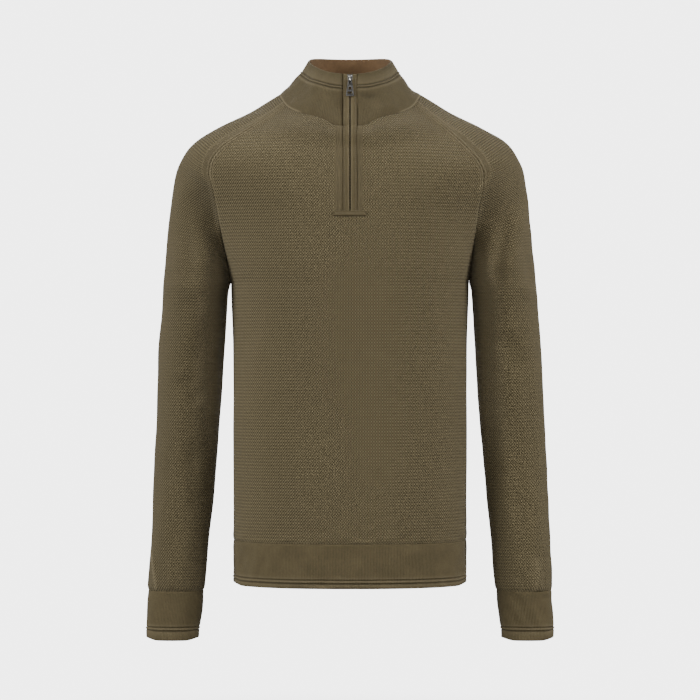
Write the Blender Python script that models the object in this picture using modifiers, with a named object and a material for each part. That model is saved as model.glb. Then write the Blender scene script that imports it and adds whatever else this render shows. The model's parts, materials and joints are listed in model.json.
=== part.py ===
"""Quarter zip sweater in its worn shape: raglan sleeves, doubled stand collar, plain knit bands.

Metres, +Z up, the front faces -Y and +X is to the viewer's right. The origin is midway between
the high points of the shoulders, where the wearer holds the sweater up. Every cloth piece is a
wall: a grid of outer points worked out from short tables, with inner points one thickness behind.
"""

import math

import bmesh
import bpy
import numpy as np
from mathutils import Matrix

COLLECTION = "quarter_zip_sweater"
CUTTERS = "quarter_zip_sweater_cutters"

# ---------------------------------------------------------------- sizes
PANEL_WALL = 0.0022
BAND_WALL = 0.0028
COLLAR_WALL = 0.0030
SEAM_GAP = 0.0003
HALF_GAP = SEAM_GAP / 2

ARMPIT_Z = -0.263
HEM_SEAM_Z = -0.6215
HEM_Z = -0.6830
CUFF_SEAM_Z = -0.6905
CUFF_Z = -0.7590

SLIT_HALF = 0.0094
SLIT_END_Z = -0.1690

# Torso below and above the armpit: half width at the side line, front and back at the centre line.
TORSO_COLUMNS = ("z", "half_width", "front_y", "back_y")
TORSO = (
    (-0.700, 0.1630, -0.1180, 0.1030),
    (-0.560, 0.1630, -0.1170, 0.1000),
    (-0.450, 0.1630, -0.1175, 0.0980),
    (-0.350, 0.1635, -0.1205, 0.1040),
    (-0.263, 0.1662, -0.1240, 0.1110),
    (-0.200, 0.1662, -0.1255, 0.1140),
    (-0.150, 0.1662, -0.1250, 0.1140),
    (-0.100, 0.1662, -0.1195, 0.1090),
    (-0.050, 0.1662, -0.1060, 0.0950),
    (-0.005, 0.1662, -0.0950, 0.0760),
)
TORSO_ROUND = 2.35
CHEST_ROUND = 2.3
# Shares of the way up the raglan seam: where a row is no longer a rounded half section, and
# where it starts to take the neckline's plan.
FLAT_FROM = 0.42
NECK_FROM = 0.72

# Raglan seams from the armpit to the neck. The worn seams sit a little unevenly left and right.
FRONT_SEAM_COLUMNS = ("z", "y", "x_left", "x_right")
FRONT_SEAM = (
    (-0.2630, 0.0000, -0.1662, 0.1662),
    (-0.2380, -0.0210, -0.1700, 0.1690),
    (-0.2100, -0.0370, -0.1757, 0.1725),
    (-0.1640, -0.0590, -0.1835, 0.1778),
    (-0.1300, -0.0690, -0.1905, 0.1840),
    (-0.1150, -0.0710, -0.1945, 0.1845),
    (-0.0990, -0.0720, -0.1922, 0.1785),
    (-0.0860, -0.0715, -0.1845, 0.1685),
    (-0.0740, -0.0700, -0.1730, 0.1570),
    (-0.0600, -0.0670, -0.1520, 0.1425),
    (-0.0460, -0.0620, -0.1305, 0.1270),
    (-0.0340, -0.0560, -0.1135, 0.1125),
    (-0.0195, -0.0480, -0.0905, 0.0915),
)
BACK_SEAM_COLUMNS = ("z", "y", "x")
BACK_SEAM = (
    (-0.2630, 0.0000, 0.1662),
    (-0.2350, 0.0230, 0.1700),
    (-0.2050, 0.0420, 0.1760),
    (-0.1650, 0.0590, 0.1840),
    (-0.1300, 0.0680, 0.1890),
    (-0.1000, 0.0700, 0.1800),
    (-0.0720, 0.0690, 0.1560),
    (-0.0480, 0.0650, 0.1270),
    (-0.0250, 0.0580, 0.1000),
    (-0.0080, 0.0500, 0.0800),
)
# Outer line of the sleeve above the armpit: up the arm and over the shoulder to the neck.
SHOULDER_COLUMNS = ("z", "y", "x")
SHOULDER = (
    (-0.2630, 0.0040, 0.2607),
    (-0.2030, 0.0040, 0.2550),
    (-0.1470, 0.0020, 0.2494),
    (-0.1190, 0.0000, 0.2450),
    (-0.1050, -0.0005, 0.2415),
    (-0.0910, -0.0020, 0.2351),
    (-0.0772, -0.0030, 0.2266),
    (-0.0633, -0.0040, 0.2119),
    (-0.0493, -0.0040, 0.1888),
    (-0.0352, -0.0030, 0.1602),
    (-0.0210, 0.0000, 0.1337),
    (-0.0084, 0.0000, 0.1134),
    (0.0004, 0.0000, 0.0987),
)
SLEEVE_COLUMNS = ("z", "inner_x", "outer_x", "middle_y", "half_depth")
SLEEVE = (
    (-0.263, 0.1666, 0.2607, 0.0000, 0.0620),
    (-0.273, 0.1696, 0.2614, 0.0030, 0.0615),
    (-0.304, 0.1718, 0.2637, 0.0080, 0.0600),
    (-0.371, 0.1761, 0.2687, 0.0100, 0.0560),
    (-0.4215, 0.1795, 0.2707, 0.0080, 0.0520),
    (-0.472, 0.1836, 0.2733, 0.0040, 0.0480),
    (-0.522, 0.1875, 0.2757, -0.0020, 0.0440),
    (-0.572, 0.1914, 0.2766, -0.0090, 0.0410),
    (-0.622, 0.1966, 0.2782, -0.0170, 0.0370),
    (-0.660, 0.1988, 0.2806, -0.0225, 0.0350),
    (-0.684, 0.2015, 0.2816, -0.0255, 0.0320),
    (-0.6905, 0.2032, 0.2806, -0.0265, 0.0300),
    (-0.722, 0.2060, 0.2822, -0.0300, 0.0280),
    (-0.746, 0.2090, 0.2833, -0.0315, 0.0275),
    (-0.759, 0.2098, 0.2828, -0.0320, 0.0270),
)

ARMPIT_SHIFT = 0.0004
SLEEVE_TOP_DEPTH = 0.0620
SHOULDER_DEPTH = 0.0730
# Handles of a sleeve's section at the seam and at the shoulder line, as shares of its chord.
SEAM_HANDLE = 0.36
RIDGE_HANDLE = 0.40
# Shares of the way up the seam: the armpit's deep fold, its end, and the smooth shoulder.
FOLD_UNTIL = 0.05
VALLEY_UNTIL = 0.28
SMOOTH_BY = 0.50

# Soft folds, each a line seen from the front or back; a negative rise is a trough.
FOLD_COLUMNS = ("face", "x_top", "z_top", "x_bottom", "z_bottom", "half_width", "rise")
FOLDS = (
    ("front", -0.2330, -0.1750, -0.2080, -0.2750, 0.0140, -0.0045),
    ("front", -0.2150, -0.2100, -0.1960, -0.3300, 0.0130, 0.0035),
    ("front", -0.2350, -0.3900, -0.2080, -0.4350, 0.0150, -0.0030),
    ("front", -0.2200, -0.4700, -0.2150, -0.6000, 0.0130, -0.0025),
    ("front", -0.2560, -0.5200, -0.2580, -0.6450, 0.0130, 0.0020),
    ("front", 0.2390, -0.1450, 0.2160, -0.2700, 0.0120, 0.0045),
    ("front", 0.2180, -0.1650, 0.1990, -0.2800, 0.0110, -0.0045),
    ("front", 0.2500, -0.2250, 0.2540, -0.2750, 0.0090, -0.0030),
    ("front", 0.2120, -0.3300, 0.2430, -0.3950, 0.0150, -0.0030),
    ("front", 0.2300, -0.4300, 0.2350, -0.6200, 0.0130, -0.0025),
    ("front", 0.2540, -0.5300, 0.2560, -0.6500, 0.0120, 0.0025),
    ("back", -0.2300, -0.1700, -0.2050, -0.2700, 0.0150, -0.0045),
    ("back", -0.2350, -0.3700, -0.2050, -0.4200, 0.0150, -0.0040),
    ("back", -0.2450, -0.4700, -0.2150, -0.5200, 0.0140, -0.0030),
    ("back", 0.2320, -0.1800, 0.2080, -0.2850, 0.0140, -0.0045),
    ("back", 0.2380, -0.3800, 0.2070, -0.4250, 0.0150, -0.0040),
    ("back", 0.2470, -0.4900, 0.2180, -0.5350, 0.0140, -0.0030),
    ("back", -0.1150, -0.3300, -0.0500, -0.4100, 0.0250, -0.0030),
    ("back", 0.1200, -0.3500, 0.0600, -0.4300, 0.0250, -0.0030),
)

# Shares of a fold's length over which it fades at each end, and of the facing where it's full.
FOLD_FADE = 0.3
FOLD_FACING = 0.5

# Neckline: a ring in plan, lowest at the front where the collar dips beside the zip.
NECK_HALF_WIDTH = 0.0987
NECK_FRONT_DEPTH = 0.1055
NECK_BACK_DEPTH = 0.0760
NECK_ROUND = 2.05
NECK_COLUMNS = ("turn", "z")
NECK = (
    (0.000, -0.0515),
    (0.045, -0.0510),
    (0.075, -0.0490),
    (0.105, -0.0430),
    (0.150, -0.0378),
    (0.240, -0.0310),
    (0.340, -0.0205),
    (0.420, -0.0080),
    (0.500, 0.0004),
    (0.600, -0.0025),
    (0.700, -0.0070),
    (0.850, -0.0055),
    (1.000, -0.0050),
)
# How soon the panels' rows take the neckline's dip on their way up.
NECK_SPREAD = 2.2
RIM_HALF_WIDTH = 0.0612
RIM_FRONT_Y = -0.0815
RIM_BACK_Y = 0.0565
RIM_ROUND = 2.1
RIM_FRONT_Z = 0.0225
RIM_SIDE_Z = 0.0470
RIM_BACK_Z = 0.0550
# Where the collar's side view bends: shares of the way from neckline to rim, (inward, upward).
COLLAR_FRONT_BEND = (0.58, 0.54)
COLLAR_SIDE_BEND = (0.84, 0.44)

# Welt: a raised line between two ditches, beside each free edge of the collar, hem and cuffs.
WELT_RISE = 0.0007
WELT_HALF = 0.0020
EDGE_ROUNDING = 0.0009
COLLAR_WELT_BELOW_RIM = 0.0180
HEM_WELT_ABOVE_EDGE = 0.0095
CUFF_WELT_ABOVE_EDGE = 0.0125

# Zip, centred on the slit; depths are measured inward from the cloth's outer surface.
SLOT_HALF = 0.0014
FACING_OUTER = SLIT_HALF - SEAM_GAP
FACING_WALL = 0.0016
TAPE_INNER_X = 0.0022
TAPE_DEPTH = FACING_WALL + SEAM_GAP
TAPE_WALL = 0.0006
CHAIN_HALF = TAPE_INNER_X - SEAM_GAP
CHAIN_WALL = 0.0012
END_BAR_HALF = 0.0230
END_BAR_HEIGHT = 0.0075
END_BAR_Z = -0.1711
END_BAR_WALL = 0.0012

ZIP_ROWS = 18
TAPE_SHORT = 0.0015

# Slider, measured from the middle of its front plate; y is inward, z is up along the front.
SLIDER_WIDTH = 0.0076
SLIDER_HEIGHT = 0.0110
SLIDER_PLATE = 0.0011
SLIDER_TAPER = 0.62
SLIDER_ROUNDING = 0.0003
SLIDER_BACK_SHARE = 0.9
SLIDER_Z = 0.0160
POST_HALF = 0.0010
POST_LOW = 0.0005
POST_HIGH = 0.0042
BACK_PLATE_DEPTH = TAPE_DEPTH + CHAIN_WALL + SEAM_GAP
BRIDGE_HALF = 0.0008
BRIDGE_REACH = 0.0036
BRIDGE_LOW = -0.0056
BRIDGE_HIGH = -0.0002
BRIDGE_BAR = 0.0009

# Pull tab, measured down from its hinge axis.
PIN_FROM_BAR = 0.0013
PIN_UP = -0.0037
PULL_HEAD = 0.0006
PULL_TOP_HALF = 0.0024
PULL_BOTTOM_HALF = 0.0057
PULL_LENGTH = 0.0230
PULL_THICK = 0.0013
PULL_ROUNDING = 0.0002
PULL_EYE_TOP = 0.0006
PULL_EYE_END = 0.0047
PULL_EYE_HALF = 0.0012
PULL_CORNER = 0.0007
EYE_CORNER = 0.0003
WINDOW_CORNER = 0.0006
WINDOW_COLUMNS = ("top", "bottom", "top_half", "bottom_half")
PULL_WINDOWS = (
    (0.0095, 0.0140, 0.0020, 0.0027),
    (0.0166, 0.0201, 0.0032, 0.0037),
)

# ---------------------------------------------------------------- grid sizes
CAP_ROWS = 13
BODY_ROWS = 8
FRONT_HALF_COLUMNS = 12
BACK_HALF_COLUMNS = 11
SLEEVE_HALF_COLUMNS = 9
SLEEVE_TUBE_ROWS = 11
COLLAR_SKIP = 2
SAME_ROUND = 1e-4
TINY = 1e-9

OLIVE = (0.128, 0.099, 0.060)
OLIVE_LIGHT = (0.150, 0.118, 0.074)
TAPE_BROWN = (0.075, 0.058, 0.038)
NICKEL = (0.62, 0.61, 0.58)
GUNMETAL = (0.16, 0.155, 0.15)


# ---------------------------------------------------------------- tables and curves
def column(table, names, name):
    return np.array([row[names.index(name)] for row in table])


def through(knots, values, at):
    """Smooth curve through a table's column, with no overshoot between its rows."""
    knots, values = np.asarray(knots, float), np.asarray(values, float)
    if knots[0] > knots[-1]:
        knots, values = knots[::-1], values[::-1]
    steps = np.diff(knots)
    slopes = np.diff(values) / steps
    tangents = np.zeros(len(knots))
    tangents[0], tangents[-1] = slopes[0], slopes[-1]
    for i in range(1, len(knots) - 1):
        if slopes[i - 1] * slopes[i] > 0:
            before = 2 * steps[i] + steps[i - 1]
            after = steps[i] + 2 * steps[i - 1]
            tangents[i] = (before + after) / (before / slopes[i - 1] + after / slopes[i])
    at = np.clip(at, knots[0], knots[-1])
    cell = np.clip(np.searchsorted(knots, at) - 1, 0, len(steps) - 1)
    t = (at - knots[cell]) / steps[cell]
    h = steps[cell]
    return (
        (1 + 2 * t) * (1 - t) ** 2 * values[cell]
        + t * (1 - t) ** 2 * h * tangents[cell]
        + t * t * (3 - 2 * t) * values[cell + 1]
        + t * t * (t - 1) * h * tangents[cell + 1]
    )


def along(points, shares):
    """Points at the given shares of the length of a curve through the given points."""
    points = np.asarray(points, float)
    reach = np.concatenate([[0], np.cumsum(np.linalg.norm(np.diff(points, axis=0), axis=1))])
    reach /= reach[-1]
    return np.stack([through(reach, points[:, i], np.asarray(shares)) for i in range(3)], axis=-1)


def blend(a, b, share):
    return a + (b - a) * share


def ease(x):
    x = np.clip(x, 0.0, 1.0)
    return x * x * (3 - 2 * x)


def unit(v):
    return v / np.maximum(np.linalg.norm(v, axis=-1, keepdims=True), 1e-12)


def torso(name, z):
    return through(column(TORSO, TORSO_COLUMNS, "z"), column(TORSO, TORSO_COLUMNS, name), z)


def sleeve_size(name, z):
    return through(column(SLEEVE, SLEEVE_COLUMNS, "z"), column(SLEEVE, SLEEVE_COLUMNS, name), z)


def seam_points(side, face, shares):
    """The raglan seam from the armpit to the neck; side is -1 or 1, face is 'front' or 'back'."""
    if face == "front":
        table, names = FRONT_SEAM, FRONT_SEAM_COLUMNS
        x = column(table, names, "x_left" if side < 0 else "x_right")
    else:
        table, names = BACK_SEAM, BACK_SEAM_COLUMNS
        x = side * column(table, names, "x")
    points = np.stack([x, column(table, names, "y"), column(table, names, "z")], axis=-1)
    points[-1] = neck_point(neck_turn_at(points[-1][0], face))
    return along(points, shares)


def shoulder_points(side, shares):
    z, y, x = (column(SHOULDER, SHOULDER_COLUMNS, name) for name in SHOULDER_COLUMNS)
    return along(np.stack([side * x, y, z], axis=-1), shares)


# ---------------------------------------------------------------- neckline and collar
def neck_point(turn):
    """Point of the neckline; turn runs from -1 (centre back) over 0 (centre front) to 1."""
    turn = np.asarray(turn, float)
    angle = np.pi * np.abs(turn)
    across, deep = np.sin(angle), np.cos(angle)
    x = NECK_HALF_WIDTH * np.sign(turn) * np.abs(across) ** (2 / NECK_ROUND)
    depth = np.where(deep > 0, -NECK_FRONT_DEPTH, NECK_BACK_DEPTH)
    y = depth * np.abs(deep) ** (2 / NECK_ROUND)
    z = through(column(NECK, NECK_COLUMNS, "turn"), column(NECK, NECK_COLUMNS, "z"), np.abs(turn))
    return np.stack([x, y, z], axis=-1)


def neck_turn_at(x, face):
    """The turn at which the neckline has this x, on its front or back half."""
    x = np.asarray(x, float)
    share = np.clip(np.abs(x) / NECK_HALF_WIDTH, 0, 1) ** (NECK_ROUND / 2)
    angle = np.arcsin(share)
    if face == "back":
        angle = np.pi - angle
    return np.sign(x) * angle / np.pi


def rim_point(turn):
    turn = np.asarray(turn, float)
    angle = np.pi * np.abs(turn)
    across, deep = np.sin(angle), np.cos(angle)
    x = RIM_HALF_WIDTH * np.sign(turn) * np.abs(across) ** (2 / RIM_ROUND)
    middle = (RIM_FRONT_Y + RIM_BACK_Y) / 2
    half = (RIM_BACK_Y - RIM_FRONT_Y) / 2
    y = middle - half * np.sign(deep) * np.abs(deep) ** (2 / RIM_ROUND)
    share = (1 - np.cos(angle)) / 2
    lift = 4 * (RIM_SIDE_Z - (RIM_FRONT_Z + RIM_BACK_Z) / 2) * share * (1 - share)
    z = blend(RIM_FRONT_Z, RIM_BACK_Z, share) + lift
    return np.stack([x, y, z], axis=-1)


def edge_turn(half_width, roundness):
    """The turn at which a ring of this half width meets the slit's edge."""
    return math.asin((SLIT_HALF / half_width) ** (roundness / 2)) / math.pi


def collar_turns(rounds, half_width, roundness):
    """Turns for rounds from 0 (right edge of the slit) to 1 (left edge), by way of the back."""
    first = edge_turn(half_width, roundness)
    turn = blend(first, 2 - first, np.asarray(rounds, float))
    return np.where(turn > 1, turn - 2, turn)


def collar_profile(rounds, ups):
    """Collar's outer surface: ups run from 0 at the neckline to 1 at the rim, one row each."""
    base = neck_point(collar_turns(rounds, NECK_HALF_WIDTH, NECK_ROUND))
    rim = rim_point(collar_turns(rounds, RIM_HALF_WIDTH, RIM_ROUND))
    side = np.sin(np.pi * np.asarray(rounds, float))[:, None]
    out_share = blend(COLLAR_FRONT_BEND[0], COLLAR_SIDE_BEND[0], side)
    up_share = blend(COLLAR_FRONT_BEND[1], COLLAR_SIDE_BEND[1], side)
    bend = blend(base, rim, np.concatenate([out_share, out_share, up_share], axis=1))
    up = np.asarray(ups, float)
    up = up[:, None, None] if up.ndim == 1 else up[..., None]
    return (1 - up) ** 2 * base + 2 * up * (1 - up) * bend + up**2 * rim


def collar_rows(rounds, lower_shares, below_rim):
    """Rows of the collar: shares of the part under the welt, then distances below the rim."""
    ups = np.linspace(0, 1, 61)
    fine = collar_profile(rounds, ups)
    steps = np.linalg.norm(np.diff(fine, axis=0), axis=2)
    height = np.concatenate([np.zeros((1, len(rounds))), np.cumsum(steps, axis=0)])
    total = height[-1]
    under = total - below_rim[0]
    wanted = [under * share for share in lower_shares] + [total - below for below in below_rim]
    picked = [
        [np.interp(row[c], height[:, c], ups) for c in range(len(rounds))] for row in wanted
    ]
    return collar_profile(rounds, np.array(picked))


# ---------------------------------------------------------------- cloth surfaces
def panel_grid(face, shares, z_rows, columns):
    """Outer points of the front or back: rows from the hem up, columns from -1 to 1 across.

    Below the armpit a row is half of a rounded section. Above it, a row spans the raglan
    seams and slowly takes the neckline's shape. columns lists (x share, slit offset).
    """
    rows = []
    out = -1 if face == "front" else 1
    depth_name = "front_y" if face == "front" else "back_y"
    for z in z_rows:
        share = column_shares(columns, 0.0)
        x = column_x(columns, share, -torso("half_width", z), torso("half_width", z))
        part = np.minimum(np.abs(x) / torso("half_width", z), 1)
        y = torso(depth_name, z) * (1 - part**TORSO_ROUND) ** (1 / TORSO_ROUND)
        rows.append(np.stack([x, y, np.full_like(x, z)], axis=-1))
    if len(shares) == 0:
        return np.array(rows)
    left, right = seam_points(-1, face, shares), seam_points(1, face, shares)
    for s, a, b in zip(shares, left, right):
        share = column_shares(columns, s)
        x = column_x(columns, share, a[0], b[0])
        end = np.where(x < 0, a[0], b[0])
        part = np.minimum(np.abs(x / end), 1)
        top_end = np.where(x < 0, left[-1][0], right[-1][0])
        neck = neck_point(neck_turn_at(x / end * top_end, face))
        neck_end = neck_point(neck_turn_at(top_end, face))
        end_y, end_z = np.where(x < 0, a[1], b[1]), np.where(x < 0, a[2], b[2])
        level = blend((a[2] + b[2]) / 2, end_z, part**2)
        z = blend(level, end_z + neck[..., 2] - neck_end[..., 2], s**NECK_SPREAD)
        middle_y = torso(depth_name, z)
        flat = ease(s / FLAT_FROM)
        round_fall = 1 - (1 - part**TORSO_ROUND) ** (1 / TORSO_ROUND)
        fall = blend(round_fall, part**CHEST_ROUND, flat)
        y = blend(middle_y, end_y, fall)
        top = ease((s - NECK_FROM) / (1 - NECK_FROM))
        y = blend(y, neck[..., 1] + end_y - neck_end[..., 1], top)
        rows.append(np.stack([x, y, z], axis=-1))
    return np.array(rows)


def column_shares(columns, s):
    """Column places across a half panel, closer together near the side line below the armpit."""
    even = np.abs(columns)
    return blend(np.sin(even * np.pi / 2), even, ease(s / FLAT_FROM))


def column_x(columns, share, left, right):
    """x of each column; the two middle columns stay on the slit's edges."""
    inner = SLIT_HALF
    return np.where(columns < 0, blend(-inner, left, share), blend(inner, right, share))


def half_arc(start, end, lead_in, lead_out, shares):
    """Cubic curve from start to end with the given handles."""
    t = np.asarray(shares)[:, None]
    return (
        (1 - t) ** 3 * start
        + 3 * t * (1 - t) ** 2 * (start + lead_in)
        + 3 * t * t * (1 - t) * (end - lead_out)
        + t**3 * end
    )


def sleeve_tube_row(side, z, arc_shares):
    inner, outer = sleeve_size("inner_x", z), sleeve_size("outer_x", z)
    middle = sleeve_size("middle_y", z)
    handle = np.array([0, -4 / 3 * sleeve_size("half_depth", z), 0])
    a = np.array([side * inner, middle, z])
    b = np.array([side * outer, middle, z])
    front = half_arc(a, b, handle, -handle, arc_shares)
    back = half_arc(b, a, -handle, handle, arc_shares)
    return np.concatenate([front, back[1:]])


def sleeve_grid(side, shares, z_rows, arc_shares, normals):
    """Outer points of a sleeve: rows from the cuff up, columns from the front seam to the back.

    The columns pass over the outer line; normals holds the panels' normals on both seams.
    """
    rows = []
    forward, across = np.array([0.0, -1.0, 0.0]), np.array([side, 0.0, 0.0])
    for z in z_rows:
        rows.append(sleeve_tube_row(side, z, arc_shares))
    seams = seam_points(side, "front", shares), seam_points(side, "back", shares)
    outer_line = shoulder_points(side, shares)
    for i, s in enumerate(shares):
        halves = []
        for seam, normal, out in zip(seams, normals, (forward, -forward)):
            a, b = seam[i] + across * ARMPIT_SHIFT * (1 - ease(s / FOLD_UNTIL / 2)), outer_line[i]
            depth = blend(SLEEVE_TOP_DEPTH, SHOULDER_DEPTH, ease(s / SMOOTH_BY))
            reach = (depth - 0.125 * abs(a[1])) / 0.75
            fold_in = out * (reach - abs(a[1]))
            fold_out = out * reach
            chord = b - a
            smooth_in = unit(chord - normal[i] * chord.dot(normal[i])) * SEAM_HANDLE * np.linalg.norm(chord)
            smooth_out = out * RIDGE_HANDLE * np.linalg.norm(chord)
            open_share = ease((s - FOLD_UNTIL) / SMOOTH_BY)
            lead_in = blend(fold_in, smooth_in, open_share)
            lead_out = blend(fold_out, smooth_out, open_share)
            halves.append(half_arc(a, b, lead_in, -lead_out, arc_shares))
        rows.append(np.concatenate([halves[0], halves[1][::-1][1:]]))
    grid = np.array(rows)
    settle = sleeve_top_row(side, arc_shares) - grid[-1]
    share = ease((np.asarray(shares) - NECK_FROM) / (1 - NECK_FROM))
    grid[len(z_rows):] += share[:, None, None] * settle
    return grid


def sleeve_top_row(side, arc_shares):
    """The neckline between the two raglan seams of a sleeve, from front to back."""
    front_turn = abs(neck_turn_at(FRONT_SEAM[-1][3 if side > 0 else 2], "front"))
    back_turn = abs(neck_turn_at(BACK_SEAM[-1][2], "back"))
    front = blend(front_turn, 0.5, np.asarray(arc_shares))
    back = blend(0.5, back_turn, np.asarray(arc_shares))
    return neck_point(side * np.concatenate([front, back[1:]]))


def torso_ring(z):
    """Closed ring round the torso at one height: across the front, then back across the back."""
    front = panel_grid("front", [], [z], front_columns())[0]
    back = panel_grid("back", [], [z], back_columns())[0]
    ring = np.concatenate([front, back[::-1][1:]])
    ring[-1] = ring[0]
    return ring


def sleeve_ring(side, z):
    """Closed ring round a sleeve at one height, seen from above anticlockwise."""
    ring = sleeve_tube_row(side, z, np.linspace(0, 1, SLEEVE_HALF_COLUMNS + 1))
    return ring if side > 0 else ring[::-1]


# ---------------------------------------------------------------- walls
def grid_normals(points, places=None):
    """Unit normals of a grid of points, whose columns may stand at uneven places."""
    spacing = 1.0 if places is None else places
    across = np.gradient(points, spacing, axis=1, edge_order=2)
    up = np.gradient(points, axis=0, edge_order=2)
    return unit(np.cross(across, up))


def wall(name, outer, inner, colour, tube_rows=0, skip=None, roughness=0.9, metallic=0.0):
    """A closed solid between two grids of points.

    Up to row tube_rows the grid is a tube, whose last column repeats its first. skip(row,
    column) leaves out a cell.
    """
    rows, columns = outer.shape[:2]
    cells = columns - 1
    present = {
        (r, c) for r in range(rows - 1) for c in range(cells) if not (skip and skip(r, c))
    }
    vertices = np.concatenate([outer.reshape(-1, 3), inner.reshape(-1, 3)])
    under = rows * columns

    def corner(r, c):
        return r * columns + (c % cells if r <= tube_rows and tube_rows else c)

    faces = []
    for r, c in sorted(present):
        a, b, d, e = corner(r, c), corner(r, c + 1), corner(r + 1, c + 1), corner(r + 1, c)
        faces.append((a, b, d, e))
        faces.append((e + under, d + under, b + under, a + under))
        around = ((-1, 0, a, b), (0, 1, b, d), (1, 0, d, e), (0, -1, e, a))
        for row_step, column_step, start, end in around:
            beside = c + column_step
            if r < tube_rows:
                beside %= cells
            if (r + row_step, beside) not in present:
                faces.append((end, start, start + under, end + under))
    mesh = bpy.data.meshes.new(name)
    mesh.from_pydata([tuple(v) for v in vertices], [], faces)
    return finished(name, mesh, colour, roughness, metallic)


def finished(name, mesh, colour, roughness, metallic):
    tidy = bmesh.new()
    tidy.from_mesh(mesh)
    loose = [v for v in tidy.verts if not v.link_faces]
    bmesh.ops.delete(tidy, geom=loose, context="VERTS")
    bmesh.ops.triangulate(tidy, faces=tidy.faces, quad_method="SHORT_EDGE")
    tidy.to_mesh(mesh)
    tidy.free()
    obj = bpy.data.objects.new(name, mesh)
    bpy.data.collections[COLLECTION].objects.link(obj)
    mesh.materials.append(material(name, colour, roughness, metallic))
    mesh.shade_smooth()
    mesh.set_sharp_from_angle(angle=math.radians(40))
    return obj


def material(name, colour, roughness, metallic):
    made = bpy.data.materials.new(name)
    made.use_nodes = True
    shader = made.node_tree.nodes["Principled BSDF"]
    shader.inputs["Base Color"].default_value = (*colour, 1)
    shader.inputs["Roughness"].default_value = roughness
    shader.inputs["Metallic"].default_value = metallic
    return made


def folded(points, normals):
    """The same points with the soft folds raised or sunk along the normals."""
    rise = np.zeros(points.shape[:2])
    for fold in FOLDS:
        size = dict(zip(FOLD_COLUMNS, fold))
        top = np.array([size["x_top"], size["z_top"]])
        bottom = np.array([size["x_bottom"], size["z_bottom"]])
        place = points[..., [0, 2]] - top
        line = bottom - top
        share = np.clip(place @ line / line.dot(line), 0, 1)
        aside = np.linalg.norm(place - share[..., None] * line, axis=-1)
        facing = normals[..., 1] * (-1 if size["face"] == "front" else 1)
        fade = ease(share / FOLD_FADE) * ease((1 - share) / FOLD_FADE) * ease(facing / FOLD_FACING)
        rise += size["rise"] * np.exp(-((aside / size["half_width"]) ** 2)) * fade
    edge = np.ones(points.shape[1])
    edge[[0, 1, -2, -1]] = (0, 0.6, 0.6, 0)
    return points + normals * (rise * edge)[..., None]


def inset_row_ends(points, first=True, last=True):
    """Moves a grid's first and last columns back from the seam by half of the gap."""
    points = points.copy()
    if first:
        points[:, 0] += unit(points[:, 1] - points[:, 0]) * HALF_GAP
    if last:
        points[:, -1] += unit(points[:, -2] - points[:, -1]) * HALF_GAP
    return points


def inset_rows(points, first=True, last=True):
    points = points.copy()
    if first:
        points[0] += unit(points[1] - points[0]) * HALF_GAP
    if last:
        points[-1] += unit(points[-2] - points[-1]) * HALF_GAP
    return points


# ---------------------------------------------------------------- cloth pieces
def cap_shares():
    return np.linspace(0, 1, CAP_ROWS + 1)


def body_rows():
    """Heights of the panel rows from the hem seam to just under the armpit."""
    return np.linspace(HEM_SEAM_Z, ARMPIT_Z, BODY_ROWS + 1)[:-1]


def mirrored_columns(half_count):
    """Column places from -1 to 1; the two nearest the middle lie on the slit's edges."""
    half = np.linspace(0, 1, half_count + 1) + TINY
    return np.concatenate([-half[::-1], half])


def front_columns():
    return mirrored_columns(FRONT_HALF_COLUMNS)


def back_columns():
    return mirrored_columns(BACK_HALF_COLUMNS)


def panel_normals(grid):
    """Normals of a panel; on the side seams, up to the armpit, they point straight out."""
    normals = grid_normals(grid)
    side_rows = len(body_rows()) + 1
    for edge in (0, -1):
        normals[:side_rows, edge] = (np.sign(grid[0, edge, 0]), 0, 0)
    return normals


def flatten_slit_normals(normals, columns):
    """Keeps the edges of the slit square to it."""
    normals[:, columns, 0] = 0
    normals[:, columns] = unit(normals[:, columns])


def share_seam_normals(panel, sleeve):
    """Gives both sides of a raglan seam the same normals, but for its folded lower part."""
    common = unit(panel + sleeve)
    share = ease((cap_shares() - VALLEY_UNTIL) / (SMOOTH_BY - VALLEY_UNTIL))[:, None]
    panel[:] = unit(blend(panel, common, share))
    sleeve[:] = unit(blend(sleeve, common, share))


def collar_base_normals(points):
    """The collar's normals at points of the neckline."""
    rounds = neckline_rounds()
    normals = collar_normals(collar_grid(rounds), rounds)[0]
    angle = np.abs(points[:, 0]) / NECK_HALF_WIDTH
    angle = np.arcsin(np.clip(angle, 0, 1) ** (NECK_ROUND / 2))
    angle = np.where(points[:, 1] > 0, np.pi - angle, angle)
    turn = np.where(points[:, 0] < 0, 2 - angle / np.pi, angle / np.pi)
    first = edge_turn(NECK_HALF_WIDTH, NECK_ROUND)
    at = (turn - first) / (2 - 2 * first)
    return unit(np.stack([np.interp(at, rounds, normals[:, i]) for i in range(3)], axis=-1))


def build_cloth():
    """Front, back and sleeves; returns the front's grid."""
    front = panel_grid("front", cap_shares(), body_rows(), front_columns())
    back = panel_grid("back", cap_shares(), body_rows(), back_columns())[:, ::-1]
    front_normals, back_normals = panel_normals(front), panel_normals(back)
    middle = FRONT_HALF_COLUMNS
    flatten_slit_normals(front_normals, [middle, middle + 1])
    cap = len(body_rows())
    for normals, grid in ((front_normals, front), (back_normals, back)):
        normals[-1] = collar_base_normals(grid[-1])
    for name, side in (("sleeve_left", -1), ("sleeve_right", 1)):
        front_edge, back_edge = (0, -1) if side < 0 else (-1, 0)
        seams = front_normals[cap:, front_edge], back_normals[cap:, back_edge]
        build_sleeve(name, side, seams)
    slit_row = int(np.argmin(np.abs(front[:, middle, 2] - SLIT_END_Z)))
    front[slit_row, middle:middle + 2, 2] = SLIT_END_Z
    build_panel("front", front, front_normals, lambda r, c: c == middle and r >= slit_row)
    build_panel("back", back, back_normals, None)
    return front


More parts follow.
